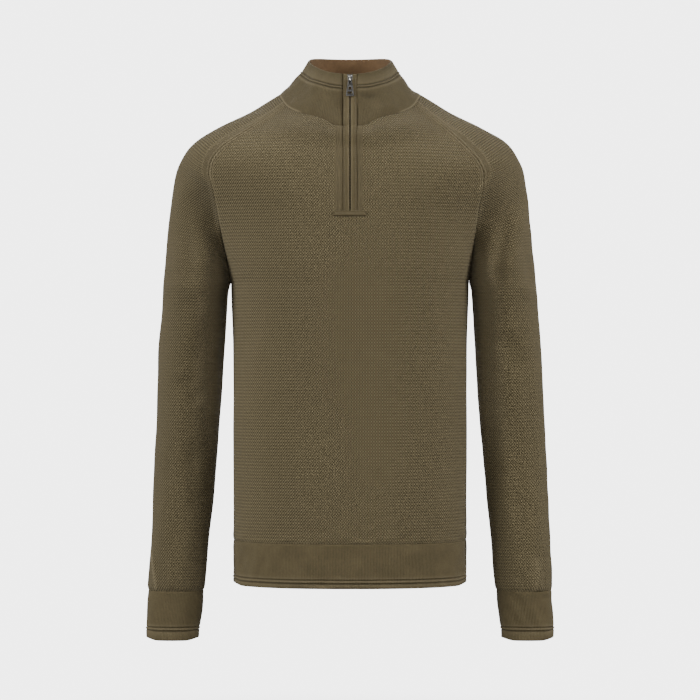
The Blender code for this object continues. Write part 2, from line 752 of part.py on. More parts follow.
def build_panel(name, grid, normals, skip):
    outer = inset_rows(inset_row_ends(folded(grid, normals)))
    wall(name, outer, outer - normals * PANEL_WALL, OLIVE, skip=skip)


def build_sleeve(name, side, seam_normals):
    """A sleeve; seam_normals are the front's and back's along its seams, changed to shared ones."""
    arc = np.linspace(0, 1, SLEEVE_HALF_COLUMNS + 1)
    tube_z = np.linspace(CUFF_SEAM_Z, ARMPIT_Z, SLEEVE_TUBE_ROWS + 1)[:-1]
    tube = len(tube_z)
    grid = sleeve_grid(side, cap_shares(), tube_z, arc, seam_normals)
    if side < 0:
        grid = grid[:, ::-1]
        seam_normals = seam_normals[::-1]
    normals = grid_normals(grid)
    for edge, panel in zip((0, -1), seam_normals):
        share_seam_normals(panel, normals[tube:, edge])
    normals[:tube + 1, 0] = normals[:tube + 1, -1] = (-side, 0, 0)
    normals[-1] = collar_base_normals(grid[-1])
    outer = folded(grid, normals)
    outer[tube + 1:] = inset_row_ends(outer)[tube + 1:]
    outer = inset_rows(outer)
    wall(name, outer, outer - normals * PANEL_WALL, OLIVE, tube_rows=tube)


def closed_ring_normals(points):
    """Normals of a tube whose last column repeats its first."""
    wrapped = np.concatenate([points[:, -2:-1], points, points[:, 1:2]], axis=1)
    normals = grid_normals(wrapped)[:, 1:-1]
    normals[:, -1] = normals[:, 0]
    return normals


def build_band(name, points, normals, thickness, edge_row, welt_row, colour, tube):
    """A band of doubled knit: edge_row, if any, is rounded over, welt_row stands up as a line."""
    rise = np.zeros(len(points))
    rise[welt_row] = WELT_RISE
    depth = np.full(len(points), thickness)
    if edge_row is not None:
        rise[edge_row] = -EDGE_ROUNDING
        depth[edge_row] -= EDGE_ROUNDING
    outer = points + normals * rise[:, None, None]
    inner = points - normals * depth[:, None, None]
    return wall(name, outer, inner, colour, tube_rows=len(points) if tube else 0)


def band_heights(edge, seam, welt_above_edge):
    """Row heights of a band from its free edge up to its seam."""
    welt = edge + welt_above_edge
    top = seam - HALF_GAP
    return [edge, edge + EDGE_ROUNDING, welt - WELT_HALF, welt, welt + WELT_HALF,
            (welt + top) / 2, top]


def neckline_rounds():
    """Rounds of the collar's columns, which meet the panels' columns along the neckline."""
    half = np.linspace(0, 1, FRONT_HALF_COLUMNS + 1)
    front_ends = abs(FRONT_SEAM[-1][3]), abs(FRONT_SEAM[-1][2])
    arc = np.linspace(0, 1, SLEEVE_HALF_COLUMNS + 1)[::COLLAR_SKIP]
    turns = []
    for end in front_ends:
        front = neck_turn_at(blend(SLIT_HALF, end, half), "front")
        sleeve_back = neck_turn_at(BACK_SEAM[-1][2], "back")
        over = np.concatenate([blend(front[-1], 0.5, arc), blend(0.5, sleeve_back, arc)])
        back_x = blend(SLIT_HALF, BACK_SEAM[-1][2], np.linspace(1, 0, BACK_HALF_COLUMNS + 1))
        turns.append(np.unique(np.concatenate([front, over, neck_turn_at(back_x, "back")])))
    around = np.concatenate([turns[0], 2 - turns[1][::-1]])
    first = edge_turn(NECK_HALF_WIDTH, NECK_ROUND)
    rounds = (around - first) / (2 - 2 * first)
    return rounds[np.concatenate([[True], np.diff(rounds) > SAME_ROUND])]


def collar_grid(rounds):
    welt = COLLAR_WELT_BELOW_RIM
    below = (welt + WELT_HALF, welt, welt - WELT_HALF, EDGE_ROUNDING, 0)
    return collar_rows(rounds, (0, 1 / 3, 2 / 3), below)


def collar_normals(grid, rounds):
    normals = grid_normals(grid, rounds)
    flatten_slit_normals(normals, [0, -1])
    return normals


def build_collar():
    rounds = neckline_rounds()
    grid = collar_grid(rounds)
    normals = collar_normals(grid, rounds)
    points = inset_rows(grid, last=False)
    return build_band("collar", points, normals, COLLAR_WALL, -1, 4, OLIVE_LIGHT, False)


def build_hem():
    heights = band_heights(HEM_Z, HEM_SEAM_Z, HEM_WELT_ABOVE_EDGE)
    grid = np.array([torso_ring(z) for z in heights])
    normals = closed_ring_normals(grid)
    build_band("hem_band", grid, normals, BAND_WALL, 0, 3, OLIVE_LIGHT, True)


def build_cuff(name, side):
    """A cuff; its free edge is left square, so that the mouth stays a plain ring."""
    heights = band_heights(CUFF_Z, CUFF_SEAM_Z, CUFF_WELT_ABOVE_EDGE)
    del heights[1]
    grid = np.array([sleeve_ring(side, z) for z in heights])
    normals = closed_ring_normals(grid)
    build_band(name, grid, normals, BAND_WALL, None, 2, OLIVE_LIGHT, True)


# ---------------------------------------------------------------- zip
class FrontLine:
    """The line down the middle of the collar and the front, in the YZ plane."""

    def __init__(self, front_grid):
        collar = collar_rows(np.array([0.0]), np.linspace(0, 1, 9), (0.012, 0.006, 0))[:, 0]
        middle = front_grid.shape[1] // 2
        panel = front_grid[:, middle]
        line = np.concatenate([panel[panel[:, 2] > END_BAR_Z - 0.03], collar[1:]])
        self.z, self.y = line[:, 2], line[:, 1]
        self.top = collar[-1][2]

    def at(self, z):
        return np.interp(z, self.z, self.y)

    def lean(self, z, span=0.004):
        """Angle of the line from upright, positive where it leans back as it goes up."""
        return math.atan2(self.at(z + span) - self.at(z - span), 2 * span)


def strip(name, line, x_from, x_to, depth, thickness, heights, colour, roughness=0.9, metallic=0.0):
    """A flat strip behind the front line: its outer face lies depth behind the cloth's face."""
    outer, inner = [], []
    for z in heights:
        lean = line.lean(z)
        inward = np.array([0, math.cos(lean), -math.sin(lean)])
        row = np.array([[x, line.at(z), z] for x in (x_from, (x_from + x_to) / 2, x_to)])
        outer.append(row + inward * depth)
        inner.append(row + inward * (depth + thickness))
    return wall(name, np.array(outer), np.array(inner), colour, 0, None, roughness, metallic)


def cut_short(heights, low, high):
    """The same heights with the ends moved in."""
    inside = heights[(heights > low) & (heights < high)]
    return np.concatenate([[low], inside, [high]])


def build_facings_and_tapes(line):
    facing_rows = np.linspace(SLIT_END_Z + SEAM_GAP, line.top, ZIP_ROWS)
    tape_rows = cut_short(facing_rows, SLIT_END_Z + 2 * SEAM_GAP, line.top - TAPE_SHORT)
    chain_top = SLIDER_Z + POST_LOW - SEAM_GAP
    chain_rows = cut_short(facing_rows, SLIT_END_Z + 3 * SEAM_GAP, chain_top)
    for side, name in ((-1, "left"), (1, "right")):
        near, far = sorted((side * SLOT_HALF, side * FACING_OUTER))
        strip("facing_" + name, line, near, far, 0, FACING_WALL, facing_rows, OLIVE_LIGHT)
        near, far = sorted((side * TAPE_INNER_X, side * FACING_OUTER))
        strip("zip_tape_" + name, line, near, far, TAPE_DEPTH, TAPE_WALL, tape_rows, TAPE_BROWN)
    strip("zip_chain", line, -CHAIN_HALF, CHAIN_HALF, TAPE_DEPTH, CHAIN_WALL, chain_rows,
          GUNMETAL, 0.4, 0.9)


def surface_y(grid, x, z):
    """Depth of a panel grid at a place seen from the front."""
    at_height = [
        (np.interp(z, grid[:, c, 2], grid[:, c, 0]), np.interp(z, grid[:, c, 2], grid[:, c, 1]))
        for c in range(grid.shape[1])
    ]
    return np.interp(x, [p[0] for p in at_height], [p[1] for p in at_height])


def build_end_bar(front_grid):
    heights = END_BAR_Z + END_BAR_HEIGHT * np.linspace(-0.5, 0.5, 5)
    across = END_BAR_HALF * np.linspace(-1, 1, 13)
    back = np.array([[[x, surface_y(front_grid, x, z) - SEAM_GAP, z] for x in across]
                     for z in heights])
    rise = np.full(back.shape[:2], END_BAR_WALL)
    rise[0] = rise[-1] = END_BAR_WALL / 2
    rise[:, 0] = rise[:, -1] = END_BAR_WALL / 2
    front = back - np.array([0, 1, 0]) * rise[..., None]
    wall("zip_end_bar", front, back, OLIVE_LIGHT)


def box(name, low, high):
    """A plain box between two corners."""
    low, high = np.array(low), np.array(high)
    bpy.ops.mesh.primitive_cube_add(size=1)
    obj = bpy.context.active_object
    obj.name = name
    matrix = Matrix.Diagonal((*(high - low), 1))
    matrix.translation = (low + high) / 2
    obj.data.transform(matrix)
    return obj


def move_to(obj, collection):
    for home in list(obj.users_collection):
        home.objects.unlink(obj)
    bpy.data.collections[collection].objects.link(obj)


def combine(obj, other, operation):
    """Joins or cuts a mesh with a helper, which stays behind as a hidden cutter."""
    modifier = obj.modifiers.new(other.name, "BOOLEAN")
    modifier.operation = operation
    modifier.solver = "EXACT"
    modifier.object = other
    move_to(other, CUTTERS)
    other.hide_render = True
    other.display_type = "WIRE"
    other.parent = obj


def build_slider(line):
    """Front and back plates joined by a post through the slot, with a bridge for the pull."""
    half, face = SLIDER_WIDTH / 2, -SEAM_GAP
    slider = box("zip_slider", (-half, face - SLIDER_PLATE, -SLIDER_HEIGHT / 2),
                 (half, face, SLIDER_HEIGHT / 2))
    for vertex in slider.data.vertices:
        if vertex.co.z < 0:
            vertex.co.x *= SLIDER_TAPER
    rounding = slider.modifiers.new("rounding", "BEVEL")
    rounding.width = SLIDER_ROUNDING
    rounding.segments = 2
    rounding.limit_method = "ANGLE"
    post = box("slider_post", (-POST_HALF, face - SLIDER_PLATE / 2, POST_LOW),
               (POST_HALF, BACK_PLATE_DEPTH + SLIDER_PLATE / 2, POST_HIGH))
    back_x, back_z = half * SLIDER_BACK_SHARE, SLIDER_HEIGHT / 2 * SLIDER_BACK_SHARE
    plate = box("slider_back_plate", (-back_x, BACK_PLATE_DEPTH, -back_z),
                (back_x, BACK_PLATE_DEPTH + SLIDER_PLATE, back_z))
    front = face - SLIDER_PLATE
    bridge = box("slider_bridge", (-BRIDGE_HALF, front - BRIDGE_REACH, BRIDGE_LOW),
                 (BRIDGE_HALF, front + SLIDER_PLATE / 2, BRIDGE_HIGH))
    window = box("slider_bridge_window",
                 (-2 * BRIDGE_HALF, front - BRIDGE_REACH + BRIDGE_BAR, BRIDGE_LOW + BRIDGE_BAR),
                 (2 * BRIDGE_HALF, front, BRIDGE_HIGH - BRIDGE_BAR))
    for piece in (post, plate, bridge):
        combine(slider, piece, "UNION")
    combine(slider, window, "DIFFERENCE")
    place_on_line(slider, line)
    slider.data.materials.append(material("zip_slider", NICKEL, 0.25, 1.0))
    move_to(slider, COLLECTION)


def place_on_line(obj, line, outward=0.0, upward=0.0):
    """Sets an object on the front line at the slider, moved along the line's own directions."""
    lean = line.lean(SLIDER_Z)
    up = np.array([0, math.sin(lean), math.cos(lean)])
    out = np.array([0, -math.cos(lean), math.sin(lean)])
    place = np.array([0, line.at(SLIDER_Z), SLIDER_Z]) + out * outward + up * upward
    obj.location = place
    obj.rotation_euler = (-lean, 0, 0)


def outline(curve, points):
    """Adds a closed straight-sided outline to a flat curve."""
    spline = curve.splines.new("POLY")
    spline.points.add(len(points) - 1)
    for point, (x, y) in zip(spline.points, points):
        point.co = (x, y, 0, 1)
    spline.use_cyclic_u = True


def rounded(corners, radius, steps=4):
    """Corners of a convex outline, each replaced by a short arc."""
    points = []
    count = len(corners)
    for i, corner in enumerate(corners):
        corner = np.array(corner)
        before = unit(np.array(corners[i - 1]) - corner)
        after = unit(np.array(corners[(i + 1) % count]) - corner)
        for step in range(steps + 1):
            t = step / steps
            points.append(corner + radius * ((1 - t) ** 2 * before + t**2 * after))
    return points


def trapezoid(top, bottom, top_half, bottom_half):
    return [(-top_half, top), (-bottom_half, bottom), (bottom_half, bottom), (top_half, top)]


def build_pull(line):
    """Flared open pull tab. Its origin is on the hinge axis, in the bridge."""
    curve = bpy.data.curves.new("zip_pull", "CURVE")
    curve.dimensions = "2D"
    curve.fill_mode = "BOTH"
    curve.extrude = PULL_THICK / 2 - PULL_ROUNDING
    curve.bevel_depth = PULL_ROUNDING
    curve.bevel_resolution = 1
    inner = PULL_ROUNDING
    outline(curve, rounded(trapezoid(PULL_HEAD, -PULL_LENGTH, PULL_TOP_HALF - inner,
                                     PULL_BOTTOM_HALF - inner), PULL_CORNER))
    outline(curve, rounded(trapezoid(-PULL_EYE_TOP + inner, -PULL_EYE_END - inner,
                                     PULL_EYE_HALF + inner, PULL_EYE_HALF + inner), EYE_CORNER))
    for top, bottom, top_half, bottom_half in PULL_WINDOWS:
        outline(curve, rounded(trapezoid(-top, -bottom, top_half, bottom_half), WINDOW_CORNER))
    flat = bpy.data.objects.new("zip_pull_outline", curve)
    bpy.context.scene.collection.objects.link(flat)
    graph = bpy.context.evaluated_depsgraph_get()
    mesh = bpy.data.meshes.new_from_object(flat.evaluated_get(graph))
    bpy.data.objects.remove(flat)
    joined = bmesh.new()
    joined.from_mesh(mesh)
    bmesh.ops.remove_doubles(joined, verts=joined.verts, dist=1e-6)
    joined.to_mesh(mesh)
    joined.free()
    mesh.transform(Matrix.Rotation(math.pi / 2, 4, "X"))
    pull = finished("zip_pull", mesh, GUNMETAL, 0.35, 0.9)
    lean_out = -SEAM_GAP - SLIDER_PLATE - BRIDGE_REACH + BRIDGE_BAR + PIN_FROM_BAR
    place_on_line(pull, line, -lean_out, PIN_UP)


def main():
    for obj in list(bpy.data.objects):
        bpy.data.objects.remove(obj)
    for name in (COLLECTION, CUTTERS):
        group = bpy.data.collections.new(name)
        bpy.context.scene.collection.children.link(group)
    front = build_cloth()
    for name, side in (("cuff_left", -1), ("cuff_right", 1)):
        build_cuff(name, side)
    build_collar()
    build_hem()
    line = FrontLine(front)
    build_facings_and_tapes(line)
    build_end_bar(front)
    build_slider(line)
    build_pull(line)


main()
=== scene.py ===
"""Quarter zip sweater in its worn shape: knit, seams, zip, room and camera.

The cloth repeats the shape of the CAD solids from the same named sizes, on finer grids.
"""

import functools
import json
import math

import bmesh
import bpy
import numpy as np
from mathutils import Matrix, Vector

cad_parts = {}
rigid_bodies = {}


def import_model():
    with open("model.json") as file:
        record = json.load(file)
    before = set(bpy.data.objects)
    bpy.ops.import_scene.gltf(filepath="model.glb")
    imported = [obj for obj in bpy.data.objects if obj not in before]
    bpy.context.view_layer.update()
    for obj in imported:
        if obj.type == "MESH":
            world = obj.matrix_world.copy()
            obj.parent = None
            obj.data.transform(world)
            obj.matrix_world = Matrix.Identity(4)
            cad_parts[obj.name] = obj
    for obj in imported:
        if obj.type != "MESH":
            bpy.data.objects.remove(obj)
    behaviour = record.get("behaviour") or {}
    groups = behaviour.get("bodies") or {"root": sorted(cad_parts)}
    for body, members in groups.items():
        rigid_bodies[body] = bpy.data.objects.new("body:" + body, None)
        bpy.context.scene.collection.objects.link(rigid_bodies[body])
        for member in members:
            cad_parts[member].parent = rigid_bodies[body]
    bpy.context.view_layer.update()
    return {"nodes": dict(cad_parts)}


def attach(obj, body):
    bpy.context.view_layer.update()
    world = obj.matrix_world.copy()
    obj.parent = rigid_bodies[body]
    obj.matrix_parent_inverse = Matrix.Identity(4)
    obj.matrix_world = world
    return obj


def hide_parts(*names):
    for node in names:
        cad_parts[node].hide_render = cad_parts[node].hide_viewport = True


for startup in list(bpy.data.objects):
    bpy.data.objects.remove(startup)
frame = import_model()

# ---------------------------------------------------------------- sizes
PANEL_WALL = 0.0022
BAND_WALL = 0.0028
COLLAR_WALL = 0.0030
SEAM_GAP = 0.0003
HALF_GAP = SEAM_GAP / 2

ARMPIT_Z = -0.263
HEM_SEAM_Z = -0.6215
HEM_Z = -0.6830
CUFF_SEAM_Z = -0.6905
CUFF_Z = -0.7590

SLIT_HALF = 0.0094
SLIT_END_Z = -0.1690

# Torso below and above the armpit: half width at the side line, front and back at the centre line.
TORSO_COLUMNS = ("z", "half_width", "front_y", "back_y")
TORSO = (
    (-0.700, 0.1630, -0.1180, 0.1030),
    (-0.560, 0.1630, -0.1170, 0.1000),
    (-0.450, 0.1630, -0.1175, 0.0980),
    (-0.350, 0.1635, -0.1205, 0.1040),
    (-0.263, 0.1662, -0.1240, 0.1110),
    (-0.200, 0.1662, -0.1255, 0.1140),
    (-0.150, 0.1662, -0.1250, 0.1140),
    (-0.100, 0.1662, -0.1195, 0.1090),
    (-0.050, 0.1662, -0.1060, 0.0950),
    (-0.005, 0.1662, -0.0950, 0.0760),
)
TORSO_ROUND = 2.35
CHEST_ROUND = 2.3
# Shares of the way up the raglan seam: where a row is no longer a rounded half section, and
# where it starts to take the neckline's plan.
FLAT_FROM = 0.42
NECK_FROM = 0.72

# Raglan seams from the armpit to the neck. The worn seams sit a little unevenly left and right.
FRONT_SEAM_COLUMNS = ("z", "y", "x_left", "x_right")
FRONT_SEAM = (
    (-0.2630, 0.0000, -0.1662, 0.1662),
    (-0.2380, -0.0210, -0.1700, 0.1690),
    (-0.2100, -0.0370, -0.1757, 0.1725),
    (-0.1640, -0.0590, -0.1835, 0.1778),
    (-0.1300, -0.0690, -0.1905, 0.1840),
    (-0.1150, -0.0710, -0.1945, 0.1845),
    (-0.0990, -0.0720, -0.1922, 0.1785),
    (-0.0860, -0.0715, -0.1845, 0.1685),
    (-0.0740, -0.0700, -0.1730, 0.1570),
    (-0.0600, -0.0670, -0.1520, 0.1425),
    (-0.0460, -0.0620, -0.1305, 0.1270),
    (-0.0340, -0.0560, -0.1135, 0.1125),
    (-0.0195, -0.0480, -0.0905, 0.0915),
)
BACK_SEAM_COLUMNS = ("z", "y", "x")
BACK_SEAM = (
    (-0.2630, 0.0000, 0.1662),
    (-0.2350, 0.0230, 0.1700),
    (-0.2050, 0.0420, 0.1760),
    (-0.1650, 0.0590, 0.1840),
    (-0.1300, 0.0680, 0.1890),
    (-0.1000, 0.0700, 0.1800),
    (-0.0720, 0.0690, 0.1560),
    (-0.0480, 0.0650, 0.1270),
    (-0.0250, 0.0580, 0.1000),
    (-0.0080, 0.0500, 0.0800),
)
# Outer line of the sleeve above the armpit: up the arm and over the shoulder to the neck.
SHOULDER_COLUMNS = ("z", "y", "x")
SHOULDER = (
    (-0.2630, 0.0040, 0.2607),
    (-0.2030, 0.0040, 0.2550),
    (-0.1470, 0.0020, 0.2494),
    (-0.1190, 0.0000, 0.2450),
    (-0.1050, -0.0005, 0.2415),
    (-0.0910, -0.0020, 0.2351),
    (-0.0772, -0.0030, 0.2266),
    (-0.0633, -0.0040, 0.2119),
    (-0.0493, -0.0040, 0.1888),
    (-0.0352, -0.0030, 0.1602),
    (-0.0210, 0.0000, 0.1337),
    (-0.0084, 0.0000, 0.1134),
    (0.0004, 0.0000, 0.0987),
)
SLEEVE_COLUMNS = ("z", "inner_x", "outer_x", "middle_y", "half_depth")
SLEEVE = (
    (-0.263, 0.1666, 0.2607, 0.0000, 0.0620),
    (-0.273, 0.1696, 0.2614, 0.0030, 0.0615),
    (-0.304, 0.1718, 0.2637, 0.0080, 0.0600),
    (-0.371, 0.1761, 0.2687, 0.0100, 0.0560),
    (-0.4215, 0.1795, 0.2707, 0.0080, 0.0520),
    (-0.472, 0.1836, 0.2733, 0.0040, 0.0480),
    (-0.522, 0.1875, 0.2757, -0.0020, 0.0440),
    (-0.572, 0.1914, 0.2766, -0.0090, 0.0410),
    (-0.622, 0.1966, 0.2782, -0.0170, 0.0370),
    (-0.660, 0.1988, 0.2806, -0.0225, 0.0350),
    (-0.684, 0.2015, 0.2816, -0.0255, 0.0320),
    (-0.6905, 0.2032, 0.2806, -0.0265, 0.0300),
    (-0.722, 0.2060, 0.2822, -0.0300, 0.0280),
    (-0.746, 0.2090, 0.2833, -0.0315, 0.0275),
    (-0.759, 0.2098, 0.2828, -0.0320, 0.0270),
)

ARMPIT_SHIFT = 0.0004
SLEEVE_TOP_DEPTH = 0.0620
SHOULDER_DEPTH = 0.0730
# Handles of a sleeve's section at the seam and at the shoulder line, as shares of its chord.
SEAM_HANDLE = 0.36
RIDGE_HANDLE = 0.40
# Shares of the way up the seam: the armpit's deep fold, its end, and the smooth shoulder.
FOLD_UNTIL = 0.05
VALLEY_UNTIL = 0.28
SMOOTH_BY = 0.50

# Soft folds, each a line seen from the front or back: face, x_top, z_top, x_bottom, z_bottom,
# half_width, rise. A negative rise is a trough.
FOLDS = (
    ("front", -0.2330, -0.1750, -0.2080, -0.2750, 0.0140, -0.0045),
    ("front", -0.2150, -0.2100, -0.1960, -0.3300, 0.0130, 0.0035),
    ("front", -0.2350, -0.3900, -0.2080, -0.4350, 0.0150, -0.0030),
    ("front", -0.2200, -0.4700, -0.2150, -0.6000, 0.0130, -0.0025),
    ("front", -0.2560, -0.5200, -0.2580, -0.6450, 0.0130, 0.0020),
    ("front", 0.2390, -0.1450, 0.2160, -0.2700, 0.0120, 0.0045),
    ("front", 0.2180, -0.1650, 0.1990, -0.2800, 0.0110, -0.0045),
    ("front", 0.2500, -0.2250, 0.2540, -0.2750, 0.0090, -0.0030),
    ("front", 0.2120, -0.3300, 0.2430, -0.3950, 0.0150, -0.0030),
    ("front", 0.2300, -0.4300, 0.2350, -0.6200, 0.0130, -0.0025),
    ("front", 0.2540, -0.5300, 0.2560, -0.6500, 0.0120, 0.0025),
    ("back", -0.2300, -0.1700, -0.2050, -0.2700, 0.0150, -0.0045),
    ("back", -0.2350, -0.3700, -0.2050, -0.4200, 0.0150, -0.0040),
    ("back", -0.2450, -0.4700, -0.2150, -0.5200, 0.0140, -0.0030),
    ("back", 0.2320, -0.1800, 0.2080, -0.2850, 0.0140, -0.0045),
    ("back", 0.2380, -0.3800, 0.2070, -0.4250, 0.0150, -0.0040),
    ("back", 0.2470, -0.4900, 0.2180, -0.5350, 0.0140, -0.0030),
    ("back", -0.1150, -0.3300, -0.0500, -0.4100, 0.0250, -0.0030),
    ("back", 0.1200, -0.3500, 0.0600, -0.4300, 0.0250, -0.0030),
)

# Shares of a fold's length over which it fades at each end, and of the facing where it's full.
FOLD_FADE = 0.3
FOLD_FACING = 0.5

# Neckline: a ring in plan, lowest at the front where the collar dips beside the zip.
NECK_HALF_WIDTH = 0.0987
NECK_FRONT_DEPTH = 0.1055
NECK_BACK_DEPTH = 0.0760
NECK_ROUND = 2.05
NECK_COLUMNS = ("turn", "z")
NECK = (
    (0.000, -0.0515),
    (0.045, -0.0510),
    (0.075, -0.0490),
    (0.105, -0.0430),
    (0.150, -0.0378),
    (0.240, -0.0310),
    (0.340, -0.0205),
    (0.420, -0.0080),
    (0.500, 0.0004),
    (0.600, -0.0025),
    (0.700, -0.0070),
    (0.850, -0.0055),
    (1.000, -0.0050),
)
# How soon the panels' rows take the neckline's dip on their way up.
NECK_SPREAD = 2.2
RIM_HALF_WIDTH = 0.0612
RIM_FRONT_Y = -0.0815
RIM_BACK_Y = 0.0565
RIM_ROUND = 2.1
RIM_FRONT_Z = 0.0225
RIM_SIDE_Z = 0.0470
RIM_BACK_Z = 0.0550
# Where the collar's side view bends: shares of the way from neckline to rim, (inward, upward).
COLLAR_FRONT_BEND = (0.58, 0.54)
COLLAR_SIDE_BEND = (0.84, 0.44)

# Welt: a raised line between two ditches, beside each free edge of the collar, hem and cuffs.
WELT_RISE = 0.0007
WELT_HALF = 0.0020
HEM_WELT_ABOVE_EDGE = 0.0095

# Zip, centred on the slit; depths are measured inward from the cloth's outer surface.
FACING_OUTER = SLIT_HALF - SEAM_GAP
FACING_WALL = 0.0016
TAPE_INNER_X = 0.0022
TAPE_DEPTH = FACING_WALL + SEAM_GAP
TAPE_WALL = 0.0006
CHAIN_HALF = TAPE_INNER_X - SEAM_GAP
CHAIN_WALL = 0.0012
END_BAR_HALF = 0.0230
END_BAR_HEIGHT = 0.0075
END_BAR_Z = -0.1711
END_BAR_WALL = 0.0012
TAPE_SHORT = 0.0015

# Slider, measured from the middle of its front plate; y is inward, z is up along the front.
SLIDER_WIDTH = 0.0076
SLIDER_HEIGHT = 0.0110
SLIDER_PLATE = 0.0011
SLIDER_Z = 0.0160
POST_LOW = 0.0005
BRIDGE_REACH = 0.0036
BRIDGE_LOW = -0.0056
BRIDGE_HIGH = -0.0002
BRIDGE_BAR = 0.0009

# ---------------------------------------------------------------- fine grids and finish
CAP_ROWS = 58
CAP_TOP_SHARES = (0.964, 0.972, 0.980, 0.987, 0.992, 0.996, 1.0)
BODY_ROWS = 70
SLEEVE_ROWS = 84
PANEL_HALF_COLUMNS = 60
SLEEVE_HALF_COLUMNS = 48
PANEL_MIDDLE = 34
SLEEVE_MIDDLE = 90
SLIT_CELLS = 4
HEM_COLUMNS = 240
BAND_MIDDLE = 16
CUFF_COLUMNS = 144
COLLAR_COLUMNS = 200
SEAM_STEPS = (0, .0006, .0013, .0020, .0028, .0036, .0044, .0052, .0061, .0071, .0083, .0098,
              .0116, .0138, .0166, .0202, .0250)
SEAM_ROWS = (0, .0006, .0013, .0021, .0032, .0046, .0064, .0090)
SLIT_STEPS = (0, .0007, .0014, .0022, .0031, .0041, .0052, .0064, .0076, .0086, .0095, .0105,
              .0120)

# A band's rows: steps from its free edge, over its welt in half widths, and from its seam.
EDGE_STEPS = (0, .0002, .0005, .0009, .0014, .0021)
WELT_STEPS = np.linspace(-2.2, 2.2, 15)
SEAM_EDGE_FROM = 0.006
SEAM_EDGE_STEPS = (.0042, .0028, .0018, .0010, .0004, 0)
RING_ENDS = (0, 0.002)
TINY = 1e-9
ABOVE_PANEL = 0.2
ROUND_SHARE = 0.94
RIPPLE_SPREAD = (0.7, 1.6)
KNIT_UV = "knit"
NARROWEST_CUT = 0.010
# The wall is kept this thick behind folds that sink deeper than it.
THINNEST = 0.0009

# Slight unevenness: rise and wave length of the wide one, then of the finer ones.
WIDE_RIPPLE = (0.0007, 0.16)
FINE_WAVE = 0.045
FINE_UNEVEN = 0.0003
CHEST_UNEVEN = 0.00012
BAND_UNEVEN = 0.0005
COLLAR_UNEVEN = 0.0012
BAND_FINE = 0.0003
BAND_WAVE = 0.022
CALM_BY_SEAMS = 0.03
CALM_AT_SLIT = 0.004
CALM_AT_SLEEVE = 0.010

# Seam valleys: depth, half width, how much of it shows at each seam, and how much painted shade
# lies in it.
SEAM_DEEP = 0.0013
SEAM_VALLEY_HALF = 0.0012
RAGLAN_SHOWN = 0.45
NECK_SHOWN = 0.15
HEM_SHOWN = 0.45
COLLAR_END_SHOWN = 0.7
ZIP_EDGE_SHOWN = 0.4
NECK_SHADE = 0.0
ZIP_SHADE = 0.12
HEM_SHADE = 0.45
CUFF_SHADE = 0.02
CREASE_BELOW = 0.004
CREASE_FADE = 0.03

# Raglan strips: shares up the seam where they start, their widths, and the edge of plain knit.
BAND_FROM = 0.42
BAND_FADE = 0.15
BODY_BAND = 0.0072
SLEEVE_BAND = ((0.0, 0.001), (0.42, 0.002), (0.50, 0.0105), (0.62, 0.0135), (0.80, 0.0100),
               (1.0, 0.0072))
PLAIN_EDGE = 0.0012
# Painted light over the strips.
STRIP_PAINTED_LIGHT = 0.22
# Soft lines along an edge: which finish, how much, how far from the edge, half width.
# Body lines: the lighter ones are painted highlights on the ridges, the darker one painted shade
# in the ditch.
BODY_LINES = (
    ("rise", 0.0008, 0.0024, 0.0011), ("rise", -0.0006, 0.0043, 0.0009),
    ("rise", 0.0005, 0.0062, 0.0011), ("worn", 0.90, 0.0024, 0.0013),
    ("worn", 0.35, 0.0062, 0.0011), ("painted_shade", 0.20, 0.0043, 0.0009))
# Painted highlight along the body's edge below the strip.
EDGE_LINES = (("worn", 0.60, 0.0012, 0.0018),)
EDGE_LIGHT_UNTIL = 0.36
EDGE_LIGHT_FADE = 0.1
# On the sleeve's band the lighter lines are painted highlights and the darker one painted shade.
SLEEVE_LINES = (("rise", 0.0006, 0.0022, 0.0011), ("worn", 0.60, 0.0022, 0.0012))
BAND_EDGE_LINES = (("rise", 0.0005, 0, 0.0013), ("worn", 0.40, 0, 0.0012))
NECK_LINES = (("rise", -0.0008, 0.0044, 0.0009), ("worn", 0.60, 0.0064, 0.0012),
              ("painted_shade", 0.25, 0.0044, 0.0009))
NECK_LINES_FROM = 0.70
NECK_LINES_FADE = 0.12

# Sleeve hollows behind the body's edge, by side: depth, reach, and where and over how much
# height they fade out lower down.
HOLLOWS = {-1: (0.0034, 0.055, -0.56, 0.26), 1: (0.0012, 0.030, -0.50, 0.22)}
HOLLOW_NEAR = 0.010
HOLLOW_UNTIL = 0.39
HOLLOW_FADE = 0.14
# Painted shade on the sleeves' fronts and at the raglan bend, and painted light on the inner sides
# by the gaps. The windows are heights below the origin: start, fade in, end, fade out.
SLEEVE_SHADE = {-1: 0.12, 1: 0.0}
FRONT_SHADE_FROM = 0.06
FRONT_SHADE_FADE = 0.05
BEND_SHADE = {-1: 0.22, 1: 0.10}
BEND_SHADE_WINDOW = (0.11, 0.03, 0.165, 0.05)
BEND_NEAR = 0.018
BEND_FADE = 0.030
SLEEVE_BOUNCE = 0.90
GAP_LIGHT = (0.20, 0.05, 0.42, 0.12)

# The cloth eased out beside the neckline: how much, how far from the seam, half width.
NECK_LIFT = 0.0022
CHEST_DROP = 0.0018
COLLAR_EASE = ((NECK_LIFT, 0.006, 0.012),)
CHEST_EASE = ((0.88 * NECK_LIFT, 0, 0.006), (-CHEST_DROP, 0.017, 0.014))
# Painted shade on the chest below the neckline, where the cloth faces up into the light.
CHEST_PAINTED_SHADE = (("painted_shade", 0.10, 0.012, 0.013),)
MIDDLE_HALF = 0.085
MIDDLE_FADE = 0.045
PLACKET_LEFT = 0.0098
PLACKET_RIGHT = 0.0078
# The placket's yarn lightened.
PLACKET_LIGHTEN = 0.21
PLACKET_FROM = (END_BAR_Z - 0.003, 0.002)
NECK_BESIDE_ZIP = 0.003
PLACKET_LINES = (("rise", 0.0003, -0.0012, 0.0012), ("rise", -0.0004, 0.0008, 0.0009))

